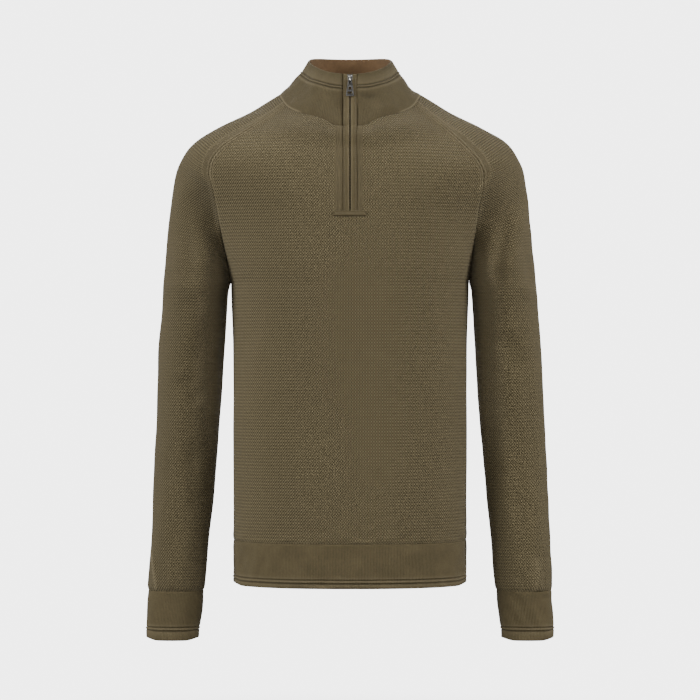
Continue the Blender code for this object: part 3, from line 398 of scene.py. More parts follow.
# Bands: lines beside the welt, and lower corners: how far they lift, and from how far aside.
WELT_DITCH = 0.0008
WELT_SHADE = 0.68
# The ditches get painted shade and the welt's raised lines painted highlights.
DITCH_LINES = (("rise", -WELT_DITCH, 0, 0.0008), ("painted_shade", WELT_SHADE, 0, 0.0009))
WELT_PAINTED_HIGHLIGHTS = tuple(("worn", 0.42, at * WELT_HALF, 0.7 * WELT_HALF) for at in (0, -2.6, 2.6))
CORNER_HEIGHT = 0.022
CUFF_WELT_SHOWN = 0.0160
HEM_BAND = (HEM_Z, HEM_SEAM_Z, HEM_COLUMNS, HEM_WELT_ABOVE_EDGE, HEM_SHADE, (0.0024, 0.86))
CUFF_BAND = (CUFF_Z, CUFF_SEAM_Z, CUFF_COLUMNS, CUFF_WELT_SHOWN, CUFF_SHADE, (0.0030, 0.35))
COLLAR_WELT_SHOWN = 0.0195
COLLAR_DITCH_ASIDE = 0.0018
COLLAR_SLIM = 0.0034
SLIM_BELOW_RIM = 0.015
COLLAR_FINE_ROWS = 81
FREE_CALM = 0.004
SEAM_CALM = 0.012
# The dent beside the slider: x, z, half width, half height.
COLLAR_DENT = (0.0254, -0.0085, 0.012, 0.0042)
DENT_DEEP = 0.0022
DENT_SHADE = 0.40
NECK_CORNER_X = (0.064, 0.010)
# A painted highlight along the collar's foot at the front corners.
NECK_CORNER_LINES = (("worn", 0.7, 0.0012, 0.0011),)

# Folds, and the gathers and puckers beside the bands.
FOLD_GAIN = 1.15
FOLDS_FROM_SEAM = 0.020
PUCKER_RISE = 0.0006
PUCKER_WAVE = 0.020
PUCKER_FROM = 0.004
PUCKER_HEIGHT = 0.030
GATHER_RISE = 0.0006
GATHER_COUNTS = (7, 11, 16)
GATHER_FLOOR = -0.3
GATHER_FROM = 0.006
GATHER_HEIGHT = 0.034
# Pleats above the cuffs that the solids leave out, in the same columns as the folds.
PLEATS = (
    ("front", -0.2757, -0.6300, -0.2680, -0.7000, 0.0030, 0.0012),
    ("front", 0.2590, -0.6450, 0.2630, -0.7000, 0.0055, 0.0028),
    ("back", 0.2700, -0.6350, 0.2640, -0.7000, 0.0045, 0.0020),
)
# Painted highlights along those pleats: x_top, z_top, x_bottom, z_bottom, half_width, strength.
PLEAT_LIGHTS = (
    (-0.2762, -0.6380, -0.2688, -0.6868, 0.0014, 1.3),
    (0.2583, -0.6500, 0.2570, -0.6900, 0.0055, 0.30),
)

# Colours of the yarns: light, dark, and a shade colour, mixed in as painted shade between the
# stitches and in seams.
OLIVE = (0.298, 0.240, 0.124)
OLIVE_DARK = (0.204, 0.164, 0.085)
OLIVE_SHADE_COLOUR = (0.022, 0.017, 0.009)
OLIVE_PLAIN = (0.160, 0.126, 0.063)
OLIVE_PLAIN_DARK = (0.116, 0.092, 0.046)
LINING = (0.238, 0.145, 0.070)
LINING_DARK = (0.176, 0.105, 0.051)
LINING_SHADE_COLOUR = (0.050, 0.028, 0.014)
# Painted light and tone: the lighter yarn mixed in where marked, and how much of it.
PAINTED_LIGHT_AND_TONE_COLOUR = (0.31, 0.255, 0.150)
PAINTED_LIGHT_AND_TONE_SHARE = 0.60
# How much of the shade colour is mixed in where painted shade is marked.
PAINTED_SHADE_SHARE = 0.90
# The collar and the end bar take the plain knit darkened: painted shade.
COLLAR_PAINTED_SHADE = 0.83

# Zip finish. The top of a facing flattens over the first length below it and rounds off.
FACING_INNER = 0.00095
FACING_REACH = SLIT_HALF - 0.00012
FACING_SHORT = 0.0006
FACING_COLUMNS = 17
FACING_STEP = 0.0014
FACING_PUFF = 0.0008
FACING_EDGE = 0.0014
FACING_TOP = (0.002, 0.003)
FACING_TOP_ROUND = 0.0012
FACING_BACK_ROUND = 0.0008
FACING_RIPPLE = (0.00015, 0.018)
FACING_STITCH = 0.0016
# Painted highlight along the facing's inner ridge.
FACING_LINES = (("worn", 0.39, 0.0012, 0.0011),)
SUNK_LINES = (("rise", -0.0004, 0, 0.0006),)
TAPE_COLUMNS = 5
TAPE_STEP = 0.003
BAR_EDGE = 0.0018
BAR_LIFT = 1e-5
# A sunk line, and a painted highlight along the end bar's edge.
BAR_LINES = (("rise", -0.0004, 0.0020, 0.0005), ("worn", 0.35, 0.0034, 0.0012))
BAR_STEPS = (17, 61)
TOOTH_PITCH = 0.0013
TOOTH_RADIUS = 0.42 * TOOTH_PITCH
TOOTH_FLATTEN = 0.9
TOOTH_REACH = 0.0004
STITCH_PITCH = 0.0028
STITCH_ENDS = (0.14, 0.86)
STITCH_RADIUS = 0.00022
STITCH_LIFT = 0.0001
TUMBLED = 0.00022
FLAT_WITHIN = math.radians(1)
CORNER_FROM = math.radians(30)
SHARP_FROM = math.radians(45)
SHOULDER_BELOW = 0.0030
SHOULDER_RADIUS = 0.0010
CROWN_RADIUS = 0.00095
BAR_RINGS = (0.35, 1.0)
TAPE_BROWN = (0.060, 0.047, 0.031)
TAPE_WEAVE = (0.0007, 0.0006)
THREAD = (0.14, 0.112, 0.070)
# Metals: noises of wear and of upright streaks, then name, colour, roughness and depth of
# scratches of each.
WEAR = (900.0, 3.0, 0.6)
STREAKS = (300.0, 2.0, 0.5, (6.0, 6.0, 0.5))
WEAR_DARK = 0.82
METALS = (
    ("dark_metal", (0.165, 0.160, 0.154), 0.34, 0.00003),
    ("nickel", (0.20, 0.197, 0.19), 0.34, 0.00002),
    ("polished_nickel", (0.75, 0.74, 0.71), 0.22, 0.00001),
)

# Textured knit: its repeat across and up, its weights at a panel's middle and sides, and how
# they change on the caps, which start at these lengths up the knit.
MOSS_ACROSS = 0.0037
MOSS_UP = 0.0045
ROWS_BY = 0.085
LUMP_WEIGHT = (0.38, 0.32)
ROW_WEIGHT = (0.02, 0.13)
COLUMN_WEIGHT = (0.10, 0.05)
CAP_KNIT = (0.60, 0.67)
CAP_COLUMNS = 0.32
SLEEVE_KNIT_FROM = -1.35
SLEEVE_CAP_KNIT = (-0.76, -0.70)
SLEEVE_CAP_LUMP = 0.30
SLEEVE_CAP_ROWS = 0.27
CAP_ROWS_FINER = 0.22
STRAND_SLANT = 0.7
STRAND_SHARE = 0.10
KNIT_BUMP = 0.0026
# Plain knit: one wale across and one course up.
WALE = 0.0021
COURSE = 0.0017
WALE_SHARE = 0.68
PLAIN_RELIEF = 0.40
PLAIN_LEVEL = 0.55
PLAIN_TONE = 0.45
PLAIN_TONE_LEVEL = 0.42
PLAIN_MOTTLE = 0.40
PLAIN_FUZZ = 0.30
PLAIN_BUMP = 0.0009
# Yarn: noises as (scale, detail, roughness), and the knit's drift as (scale, share of a repeat).
YARN_ROUGHNESS = 0.90
SHEEN = 0.10
SHEEN_TINT = (0.95, 0.88, 0.72, 1.0)
FIBRE = (1500.0, 3.0, 0.65)
FUZZ = (420.0, 2.0, 0.6)
MOTTLE = (60.0, 4.0, 0.65)
CLOUDS = ((9.0, 3.0), (95.0, 2.0))
FIBRE_DARK = 0.35
# Painted shade between the stitches: how steeply and how far toward the shade colour.
STITCH_SHADE_GAIN = 1.08
STITCH_SHADE_SHARE = 0.97
FUZZ_ROUGHNESS = 0.16
FIBRE_BUMP = 0.10
FUZZ_BUMP = 0.08
DRIFT = ((9.0, 0.8), (8.0, 0.6))

# Camera and room.
CAMERA_AWAY = 4.3
CAMERA_Z = -0.357
VIEW_WIDTH = 0.98
SENSOR = 36.0
FLOOR_Z = -0.95
FLOOR_RADIUS = 30.0
FLOOR_FADE = (0.3, 1.1)
FLOOR_GLOW = 0.15
ROOM_LIGHT = 0.26
WHITE = 4.5
LAMPS = (
    ("key_left", (-3.3, -1.5, 1.35), (0.0, 0.0, -0.30), (1.4, 2.2), 144.0),
    ("key_right", (3.35, -1.45, 1.35), (0.0, 0.0, -0.30), (1.4, 2.2), 131.0),
    ("front", (0.0, -3.3, 0.45), (0.0, 0.0, -0.30), (1.6, 1.4), 25.0),
    ("top", (0.0, 0.5, 2.4), (0.0, 0.0, -0.2), (2.6, 2.0), 12.0),
    ("behind", (0.0, 3.2, 0.8), (0.0, 0.0, -0.35), (3.0, 2.2), 85.0),
)


# ---------------------------------------------------------------- tables and curves
def column(table, names, name):
    return np.array([row[names.index(name)] for row in table])


def through(knots, values, at):
    """Smooth curve through a table's column, with no overshoot between its rows."""
    knots, values = np.asarray(knots, float), np.asarray(values, float)
    if knots[0] > knots[-1]:
        knots, values = knots[::-1], values[::-1]
    steps = np.diff(knots)
    slopes = np.diff(values) / steps
    tangents = np.zeros(len(knots))
    tangents[0], tangents[-1] = slopes[0], slopes[-1]
    for i in range(1, len(knots) - 1):
        if slopes[i - 1] * slopes[i] > 0:
            before = 2 * steps[i] + steps[i - 1]
            after = steps[i] + 2 * steps[i - 1]
            tangents[i] = (before + after) / (before / slopes[i - 1] + after / slopes[i])
    at = np.clip(at, knots[0], knots[-1])
    cell = np.clip(np.searchsorted(knots, at) - 1, 0, len(steps) - 1)
    t = (at - knots[cell]) / steps[cell]
    h = steps[cell]
    return (
        (1 + 2 * t) * (1 - t) ** 2 * values[cell]
        + t * (1 - t) ** 2 * h * tangents[cell]
        + t * t * (3 - 2 * t) * values[cell + 1]
        + t * t * (t - 1) * h * tangents[cell + 1]
    )


def lengths_of(points):
    """Length of a line of points up to each of them."""
    return np.concatenate([[0], np.cumsum(np.linalg.norm(np.diff(points, axis=0), axis=1))])


def along(points, shares):
    """Points at the given shares of the length of a curve through the given points."""
    reach = lengths_of(points)
    return np.stack([through(reach / reach[-1], points[:, i], shares) for i in range(3)], axis=-1)


def blend(a, b, share):
    return a + (b - a) * share


def ease(x):
    x = np.clip(x, 0.0, 1.0)
    return x * x * (3 - 2 * x)


def ridge(distance, centre, half):
    return np.exp(-(((distance - centre) / half) ** 2))


def window(x, start, fade_in, end, fade_out):
    """One from start to end, with a soft fade at each."""
    return ease((x - start) / fade_in) * (1 - ease((x - end) / fade_out))


def unit(v):
    return v / np.maximum(np.linalg.norm(v, axis=-1, keepdims=True), 1e-12)


def torso(name, z):
    return through(column(TORSO, TORSO_COLUMNS, "z"), column(TORSO, TORSO_COLUMNS, name), z)


def sleeve_size(name, z):
    return through(column(SLEEVE, SLEEVE_COLUMNS, "z"), column(SLEEVE, SLEEVE_COLUMNS, name), z)


def seam_points(side, face, shares):
    """The raglan seam from the armpit to the neck; side is -1 or 1, face is 'front' or 'back'."""
    if face == "front":
        table, names = FRONT_SEAM, FRONT_SEAM_COLUMNS
        x = column(table, names, "x_left" if side < 0 else "x_right")
    else:
        table, names = BACK_SEAM, BACK_SEAM_COLUMNS
        x = side * column(table, names, "x")
    points = np.stack([x, column(table, names, "y"), column(table, names, "z")], axis=-1)
    points[-1] = neck_point(neck_turn_at(points[-1][0], face))
    return along(points, shares)


def shoulder_points(side, shares):
    z, y, x = (column(SHOULDER, SHOULDER_COLUMNS, name) for name in SHOULDER_COLUMNS)
    return along(np.stack([side * x, y, z], axis=-1), shares)


# ---------------------------------------------------------------- neckline and collar
def oval(turn, half_width, roundness):
    """A rounded ring in plan, by turns from -1 (centre back) over 0 (centre front) to 1: its x,
    and its place from the front (1) to the back (-1)."""
    angle = np.pi * np.abs(turn)
    across, deep = np.sin(angle), np.cos(angle)
    x = half_width * np.sign(turn) * np.abs(across) ** (2 / roundness)
    return x, np.sign(deep) * np.abs(deep) ** (2 / roundness)


def neck_point(turn):
    """Point of the neckline at this turn."""
    x, deep = oval(turn, NECK_HALF_WIDTH, NECK_ROUND)
    y = np.where(deep > 0, -NECK_FRONT_DEPTH, -NECK_BACK_DEPTH) * deep
    z = through(column(NECK, NECK_COLUMNS, "turn"), column(NECK, NECK_COLUMNS, "z"), np.abs(turn))
    return np.stack([x, y, z], axis=-1)


def neck_turn_at(x, face):
    """The turn at which the neckline has this x, on its front or back half."""
    angle = np.arcsin(np.clip(np.abs(x) / NECK_HALF_WIDTH, 0, 1) ** (NECK_ROUND / 2))
    if face == "back":
        angle = np.pi - angle
    return np.sign(x) * angle / np.pi


def rim_point(turn):
    x, deep = oval(turn, RIM_HALF_WIDTH, RIM_ROUND)
    y = (RIM_FRONT_Y + RIM_BACK_Y) / 2 - (RIM_BACK_Y - RIM_FRONT_Y) / 2 * deep
    share = (1 - np.cos(np.pi * np.abs(turn))) / 2
    lift = 4 * (RIM_SIDE_Z - (RIM_FRONT_Z + RIM_BACK_Z) / 2) * share * (1 - share)
    z = blend(RIM_FRONT_Z, RIM_BACK_Z, share) + lift
    return np.stack([x, y, z], axis=-1)


def edge_turn(half_width, roundness):
    """The turn at which a ring of this half width meets the slit's edge."""
    return math.asin((SLIT_HALF / half_width) ** (roundness / 2)) / math.pi


def collar_turns(rounds, half_width, roundness):
    """Turns for rounds from 0 (right edge of the slit) to 1 (left edge), by way of the back."""
    first = edge_turn(half_width, roundness)
    turn = blend(first, 2 - first, rounds)
    return np.where(turn > 1, turn - 2, turn)


def collar_profile(rounds, ups):
    """Collar's outer surface: ups run from 0 at the neckline to 1 at the rim, one row each."""
    base = neck_point(collar_turns(rounds, NECK_HALF_WIDTH, NECK_ROUND))
    rim = rim_point(collar_turns(rounds, RIM_HALF_WIDTH, RIM_ROUND))
    side = np.sin(np.pi * rounds)
    inward, upward = (blend(*shares, side) for shares in zip(COLLAR_FRONT_BEND, COLLAR_SIDE_BEND))
    bend = blend(base, rim, np.stack([inward, inward, upward], axis=1))
    up = ups[:, None, None]
    return (1 - up) ** 2 * base + 2 * up * (1 - up) * bend + up**2 * rim


# ---------------------------------------------------------------- cloth surfaces
def panel_grid(face, shares, z_rows):
    """Outer points of the front or back: rows from the hem up, columns from -1 to 1 across.

    Below the armpit a row is half of a rounded section. Above it, a row spans the raglan
    seams and slowly takes the neckline's shape.
    """
    rows = []
    columns = panel_columns()
    depth_name = face + "_y"
    for z in z_rows:
        half_width = torso("half_width", z)
        x = column_x(columns, 0.0, -half_width, half_width)
        part = np.minimum(np.abs(x) / half_width, 1)
        y = torso(depth_name, z) * (1 - part**TORSO_ROUND) ** (1 / TORSO_ROUND)
        rows.append(np.stack([x, y, np.full_like(x, z)], axis=-1))
    if len(shares) == 0:
        return np.array(rows)
    left, right = seam_points(-1, face, shares), seam_points(1, face, shares)
    top_left, top_right = left[-1][0], right[-1][0]
    for s, a, b in zip(shares, left, right):
        x = column_x(columns, s, a[0], b[0])
        end_x, end_y, end_z = (np.where(x < 0, a[i], b[i]) for i in range(3))
        part = np.minimum(np.abs(x / end_x), 1)
        top_end = np.where(x < 0, top_left, top_right)
        neck = neck_point(neck_turn_at(x / end_x * top_end, face))
        neck_end = neck_point(neck_turn_at(top_end, face))
        level = blend((a[2] + b[2]) / 2, end_z, part**2)
        z = blend(level, end_z + neck[..., 2] - neck_end[..., 2], s**NECK_SPREAD)
        round_fall = 1 - (1 - part**TORSO_ROUND) ** (1 / TORSO_ROUND)
        fall = blend(round_fall, part**CHEST_ROUND, ease(s / FLAT_FROM))
        y = blend(torso(depth_name, z), end_y, fall)
        top = ease((s - NECK_FROM) / (1 - NECK_FROM))
        y = blend(y, neck[..., 1] + end_y - neck_end[..., 1], top)
        rows.append(np.stack([x, y, z], axis=-1))
    return np.array(rows)


def column_x(columns, s, left, right):
    """x of each column at this share up the seam: closer together near the side line below the
    armpit, with the two middle columns on the slit's edges."""
    even = np.abs(columns)
    share = blend(np.sin(even * np.pi / 2), even, ease(s / FLAT_FROM))
    return np.where(columns < 0, blend(-SLIT_HALF, left, share), blend(SLIT_HALF, right, share))


def half_arc(start, end, lead_in, lead_out, shares):
    """Cubic curve from start to end with the given handles."""
    t = np.asarray(shares)[:, None]
    return (
        (1 - t) ** 3 * start
        + 3 * t * (1 - t) ** 2 * (start + lead_in)
        + 3 * t * t * (1 - t) * (end - lead_out)
        + t**3 * end
    )


def sleeve_tube_row(side, z, arc_shares):
    inner, outer = sleeve_size("inner_x", z), sleeve_size("outer_x", z)
    middle = sleeve_size("middle_y", z)
    handle = np.array([0, -4 / 3 * sleeve_size("half_depth", z), 0])
    a = np.array([side * inner, middle, z])
    b = np.array([side * outer, middle, z])
    front = half_arc(a, b, handle, -handle, arc_shares)
    back = half_arc(b, a, -handle, handle, arc_shares)
    return np.concatenate([front, back[1:]])


def sleeve_grid(side, shares, z_rows, arc_shares, normals):
    """Outer points of a sleeve: rows from the cuff up, columns from the front seam to the back.

    The columns pass over the outer line; normals holds the panels' normals on both seams.
    """
    rows = []
    forward, across = np.array([0.0, -1.0, 0.0]), np.array([side, 0.0, 0.0])
    for z in z_rows:
        rows.append(sleeve_tube_row(side, z, arc_shares))
    seams = seam_points(side, "front", shares), seam_points(side, "back", shares)
    outer_line = shoulder_points(side, shares)
    for i, s in enumerate(shares):
        halves = []
        shift = across * ARMPIT_SHIFT * (1 - ease(s / FOLD_UNTIL / 2))
        depth = blend(SLEEVE_TOP_DEPTH, SHOULDER_DEPTH, ease(s / SMOOTH_BY))
        open_share = ease((s - FOLD_UNTIL) / SMOOTH_BY)
        for seam, normal, out in zip(seams, normals, (forward, -forward)):
            a, b = seam[i] + shift, outer_line[i]
            # With handles of this reach the middle of the cubic curve is at that depth.
            reach = (depth - 0.125 * abs(a[1])) / 0.75
            chord = b - a
            length = np.linalg.norm(chord)
            smooth_in = unit(chord - normal[i] * chord.dot(normal[i])) * SEAM_HANDLE * length
            lead_in = blend(out * (reach - abs(a[1])), smooth_in, open_share)
            lead_out = blend(out * reach, out * RIDGE_HANDLE * length, open_share)
            halves.append(half_arc(a, b, lead_in, -lead_out, arc_shares))
        rows.append(np.concatenate([halves[0], halves[1][::-1][1:]]))
    grid = np.array(rows)
    short = sleeve_top_row(side, arc_shares) - grid[-1]
    share = ease((np.asarray(shares) - NECK_FROM) / (1 - NECK_FROM))
    grid[len(z_rows):] += share[:, None, None] * short
    return grid


def sleeve_top_row(side, arc_shares):
    """The neckline between the two raglan seams of a sleeve, from front to back."""
    front_turn = abs(neck_turn_at(FRONT_SEAM[-1][3 if side > 0 else 2], "front"))
    back_turn = abs(neck_turn_at(BACK_SEAM[-1][2], "back"))
    front = blend(front_turn, 0.5, np.asarray(arc_shares))
    back = blend(0.5, back_turn, np.asarray(arc_shares))
    return neck_point(side * np.concatenate([front, back[1:]]))


def torso_ring(z):
    """Closed ring round the torso at one height: across the front, then back across the back."""
    front, back = (panel_grid(face, [], [z])[0] for face in ("front", "back"))
    ring = np.concatenate([front, back[::-1][1:]])
    ring[-1] = ring[0]
    return ring


def sleeve_ring(side, z):
    """Closed ring round a sleeve at one height, seen from above anticlockwise."""
    ring = sleeve_tube_row(side, z, np.linspace(0, 1, SLEEVE_HALF_COLUMNS + 1))
    return ring if side > 0 else ring[::-1]


def grid_normals(points, places=None):
    """Unit normals of a grid of points, whose columns may stand at uneven places."""
    spacing = 1.0 if places is None else places
    across = np.gradient(points, spacing, axis=1, edge_order=2)
    up = np.gradient(points, axis=0, edge_order=2)
    return unit(np.cross(across, up))


def beside_line(points, top, bottom):
    """Seen from the front: shares of the way down a line, and distances from it."""
    place = points[..., [0, 2]] - top
    line = np.subtract(bottom, top)
    share = np.clip(place @ line / line.dot(line), 0, 1)
    return share, np.linalg.norm(place - share[..., None] * line, axis=-1)


def fold_rise(points, normals):
    """How far the soft folds stand out along the normals."""
    rise = np.zeros(points.shape[:2])
    for face, x_top, z_top, x_bottom, z_bottom, half_width, height in FOLDS + PLEATS:
        share, aside = beside_line(points, (x_top, z_top), (x_bottom, z_bottom))
        facing = normals[..., 1] * (-1 if face == "front" else 1)
        fade = ease(share / FOLD_FADE) * ease((1 - share) / FOLD_FADE) * ease(facing / FOLD_FACING)
        rise += height * ridge(aside, 0, half_width) * fade
    return FOLD_GAIN * rise


def panel_columns():
    """Column places from -1 to 1; the two nearest the middle lie on the slit's edges."""
    half = np.linspace(0, 1, PANEL_HALF_COLUMNS + 1) + TINY
    return np.concatenate([-half[::-1], half])


def panel_normals(grid):
    """Normals of a panel; on the side seams, up to the armpit, they point straight out."""
    normals = grid_normals(grid)
    for edge in (0, -1):
        normals[:len(body_rows()) + 1, edge] = (np.sign(grid[0, edge, 0]), 0, 0)
    return normals


def flatten_slit_normals(normals, columns):
    """Keeps the edges of the slit square to it."""
    normals[:, columns, 0] = 0
    normals[:, columns] = unit(normals[:, columns])


def share_seam_normals(panel, sleeve):
    """Gives both sides of a raglan seam the same normals, but for its folded lower part."""
    common = unit(panel + sleeve)
    share = ease((cap_shares() - VALLEY_UNTIL) / (SMOOTH_BY - VALLEY_UNTIL))[:, None]
    panel[:] = unit(blend(panel, common, share))
    sleeve[:] = unit(blend(sleeve, common, share))


def closed_ring_normals(points):
    """Normals of a tube whose last column repeats its first."""
    wrapped = np.concatenate([points[:, -2:-1], points, points[:, 1:2]], axis=1)
    normals = grid_normals(wrapped)[:, 1:-1]
    normals[:, -1] = normals[:, 0]
    return normals


def collar_base_normals(points):
    """The collar's normals at points of the neckline."""
    rounds = np.linspace(0, 1, COLLAR_COLUMNS + 1)
    normals = grid_normals(collar_profile(rounds, np.linspace(0, 1, 21)), rounds)
    flatten_slit_normals(normals, [0, -1])
    angle = np.abs(points[:, 0]) / NECK_HALF_WIDTH
    angle = np.arcsin(np.clip(angle, 0, 1) ** (NECK_ROUND / 2))
    angle = np.where(points[:, 1] > 0, np.pi - angle, angle)
    turn = np.where(points[:, 0] < 0, 2 - angle / np.pi, angle / np.pi)
    first = edge_turn(NECK_HALF_WIDTH, NECK_ROUND)
    at = (turn - first) / (2 - 2 * first)
    return unit(np.stack([np.interp(at, rounds, normals[0, :, i]) for i in range(3)], axis=-1))


# ---------------------------------------------------------------- fine grids
def spread(near_start, near_end, middle):
    """Makes a rule that sets points out along a row: fixed lengths by its ends, even between."""
    near_start, near_end = np.asarray(near_start), np.asarray(near_end)

    def places(total):
        between = np.linspace(near_start[-1], total - near_end[-1], middle + 2)[1:-1]
        return np.concatenate([near_start, between, total - near_end[::-1]])

    return places


def set_out(row, places):
    """Points of a row at lengths from its start, and those lengths from its start and end."""
    reach = lengths_of(row[:, :3])
    at = places(reach[-1])
    points = np.stack([np.interp(at, reach, row[:, i]) for i in range(row.shape[1])], axis=-1)
    return points, at, reach[-1] - at


def set_out_rows(points, normals, places):
    """Sets out every row of a grid again; returns points, normals and lengths from both ends."""
    made = [set_out(row, places) for row in np.concatenate([points, normals], axis=2)]
    grid = np.array([row[0] for row in made])
    starts, ends = (np.array([row[i] for row in made]) for i in (1, 2))
    return grid[..., :3], unit(grid[..., 3:]), starts, ends


def ripple(points, seed, size, count=7):
    """Smooth uneven rise and fall of about one, with waves near the given size."""
    draw = np.random.default_rng(seed)
    total = np.zeros(points.shape[:-1])
    for _ in range(count):
        direction = unit(draw.normal(size=3))
        length = size * draw.uniform(*RIPPLE_SPREAD)
        total += np.sin(points @ direction * 2 * np.pi / length + draw.uniform(0, 2 * np.pi))
    return total / math.sqrt(count / 2)


def rounding(distance, radius):
    """How far an edge of this radius falls back at a distance from its end."""
    short = np.clip(radius - distance, 0, radius * ROUND_SHARE)
    return radius - np.sqrt(radius**2 - short**2)


class Cloth:
    """A grid of outer points with normals, knit places (u, v) and per-point finish: plain knit,
    painted light and tone, and painted shade.
    """

    def __init__(self, points, normals, across, up):
        self.points, self.normals = points, normals
        self.across, self.up = across, up
        self.rise, self.plain, self.worn, self.painted_shade = np.zeros((4, *points.shape[:2]))
        self.depth = np.full(points.shape[:2], PANEL_WALL)

    def outer(self):
        return self.points + self.normals * self.rise[..., None]

    def inner(self):
        """The far face keeps behind the near one where a fold sinks deeper than the wall."""
        wall = np.maximum(self.depth, np.minimum(self.depth, THINNEST) - self.rise)
        return self.points - self.normals * wall[..., None]

    def build(self, name, materials, tube_rows=0, skip=None):
        """A closed thin shell; the inner face takes the last of the materials."""
        rows, columns = self.points.shape[:2]
        cells, under = columns - 1, rows * columns
        present = np.ones((rows - 1, cells), bool)
        if skip is not None:
            present &= ~skip(np.arange(rows - 1)[:, None], np.arange(cells)[None])
        index = np.arange(under).reshape(rows, columns)
        if tube_rows:
            index[:tube_rows + 1, -1] = index[:tube_rows + 1, 0]
        # The corners of every cell, as points of the mesh and as places in the grid.
        corners, spots = (np.stack(corners_of(numbers), axis=-1)
                          for numbers in (index, np.arange(under).reshape(rows, columns)))
        faces = [corners[present], corners[present][:, ::-1] + under]
        places = [spots[present], spots[present][:, ::-1]]
        inside = [np.zeros(len(faces[0]), int), np.ones(len(faces[0]), int)]
        padded = np.pad(present, 1)
        if tube_rows:
            wrapped = min(tube_rows, rows - 1)
            padded[1:wrapped + 1, 0] = present[:wrapped, -1]
            padded[1:wrapped + 1, -1] = present[:wrapped, 0]
        around = ((padded[:-2, 1:-1], 0, 1), (padded[1:-1, 2:], 1, 2),
                  (padded[2:, 1:-1], 2, 3), (padded[1:-1, :-2], 3, 0))
        for beside, i, j in around:
            edge = present & ~beside
            faces.append(corners[edge][:, [j, i, i, j]] + (0, 0, under, under))
            places.append(spots[edge][:, [j, i, i, j]])
            inside.append(np.zeros(len(faces[-1]), int))
        faces, places, inside = (np.concatenate(parts) for parts in (faces, places, inside))
        vertices = np.concatenate([self.outer().reshape(-1, 3), self.inner().reshape(-1, 3)])
        used, faces = np.unique(faces, return_inverse=True)
        faces = faces.reshape(-1, 4)
        mesh = bpy.data.meshes.new(name)
        mesh.from_pydata(vertices[used].tolist(), [], faces.tolist())
        knit = mesh.uv_layers.new(name=KNIT_UV)
        uv = np.stack([self.across.reshape(-1)[places], self.up.reshape(-1)[places]], axis=-1)
        knit.data.foreach_set("uv", uv.astype(np.float32).ravel())
        for key, values in (("plain", self.plain), ("worn", self.worn), ("painted_shade", self.painted_shade)):
            layer = mesh.attributes.new(key, "FLOAT", "POINT")
            outside = np.clip(values, 0, 1).ravel()
            both = np.concatenate([outside, outside if key == "plain" else 0 * outside])
            layer.data.foreach_set("value", both[used].astype(np.float32))
        for finish in materials:
            mesh.materials.append(finish)
        if len(materials) > 1:
            mesh.polygons.foreach_set("material_index", inside.astype(np.int32))
        mesh.shade_smooth()
        mesh.update()
        return placed(name, mesh)


def corners_of(grid):
    return grid[:-1, :-1], grid[:-1, 1:], grid[1:, 1:], grid[1:, :-1]


def placed(name, mesh, body="garment"):
    obj = bpy.data.objects.new(name, mesh)
    bpy.context.scene.collection.objects.link(obj)
    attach(obj, body)
    return obj


def dress(made, node):
    """Hides the node that a cloth stands for, and works out the cloth's widest row, its length and
    the area of its outer face, which are then not used."""
    obj, cloth = made
    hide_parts(node)
    outer = cloth.outer()
    width, length = (
        max(np.linalg.norm(np.diff(outer, axis=along), axis=2).sum(axis=along).max(),
            NARROWEST_CUT) for along in (1, 0))
    a, b, c, d = corners_of(outer)
    area = float(np.linalg.norm(np.cross(c - a, d - b), axis=-1).sum() / 2)


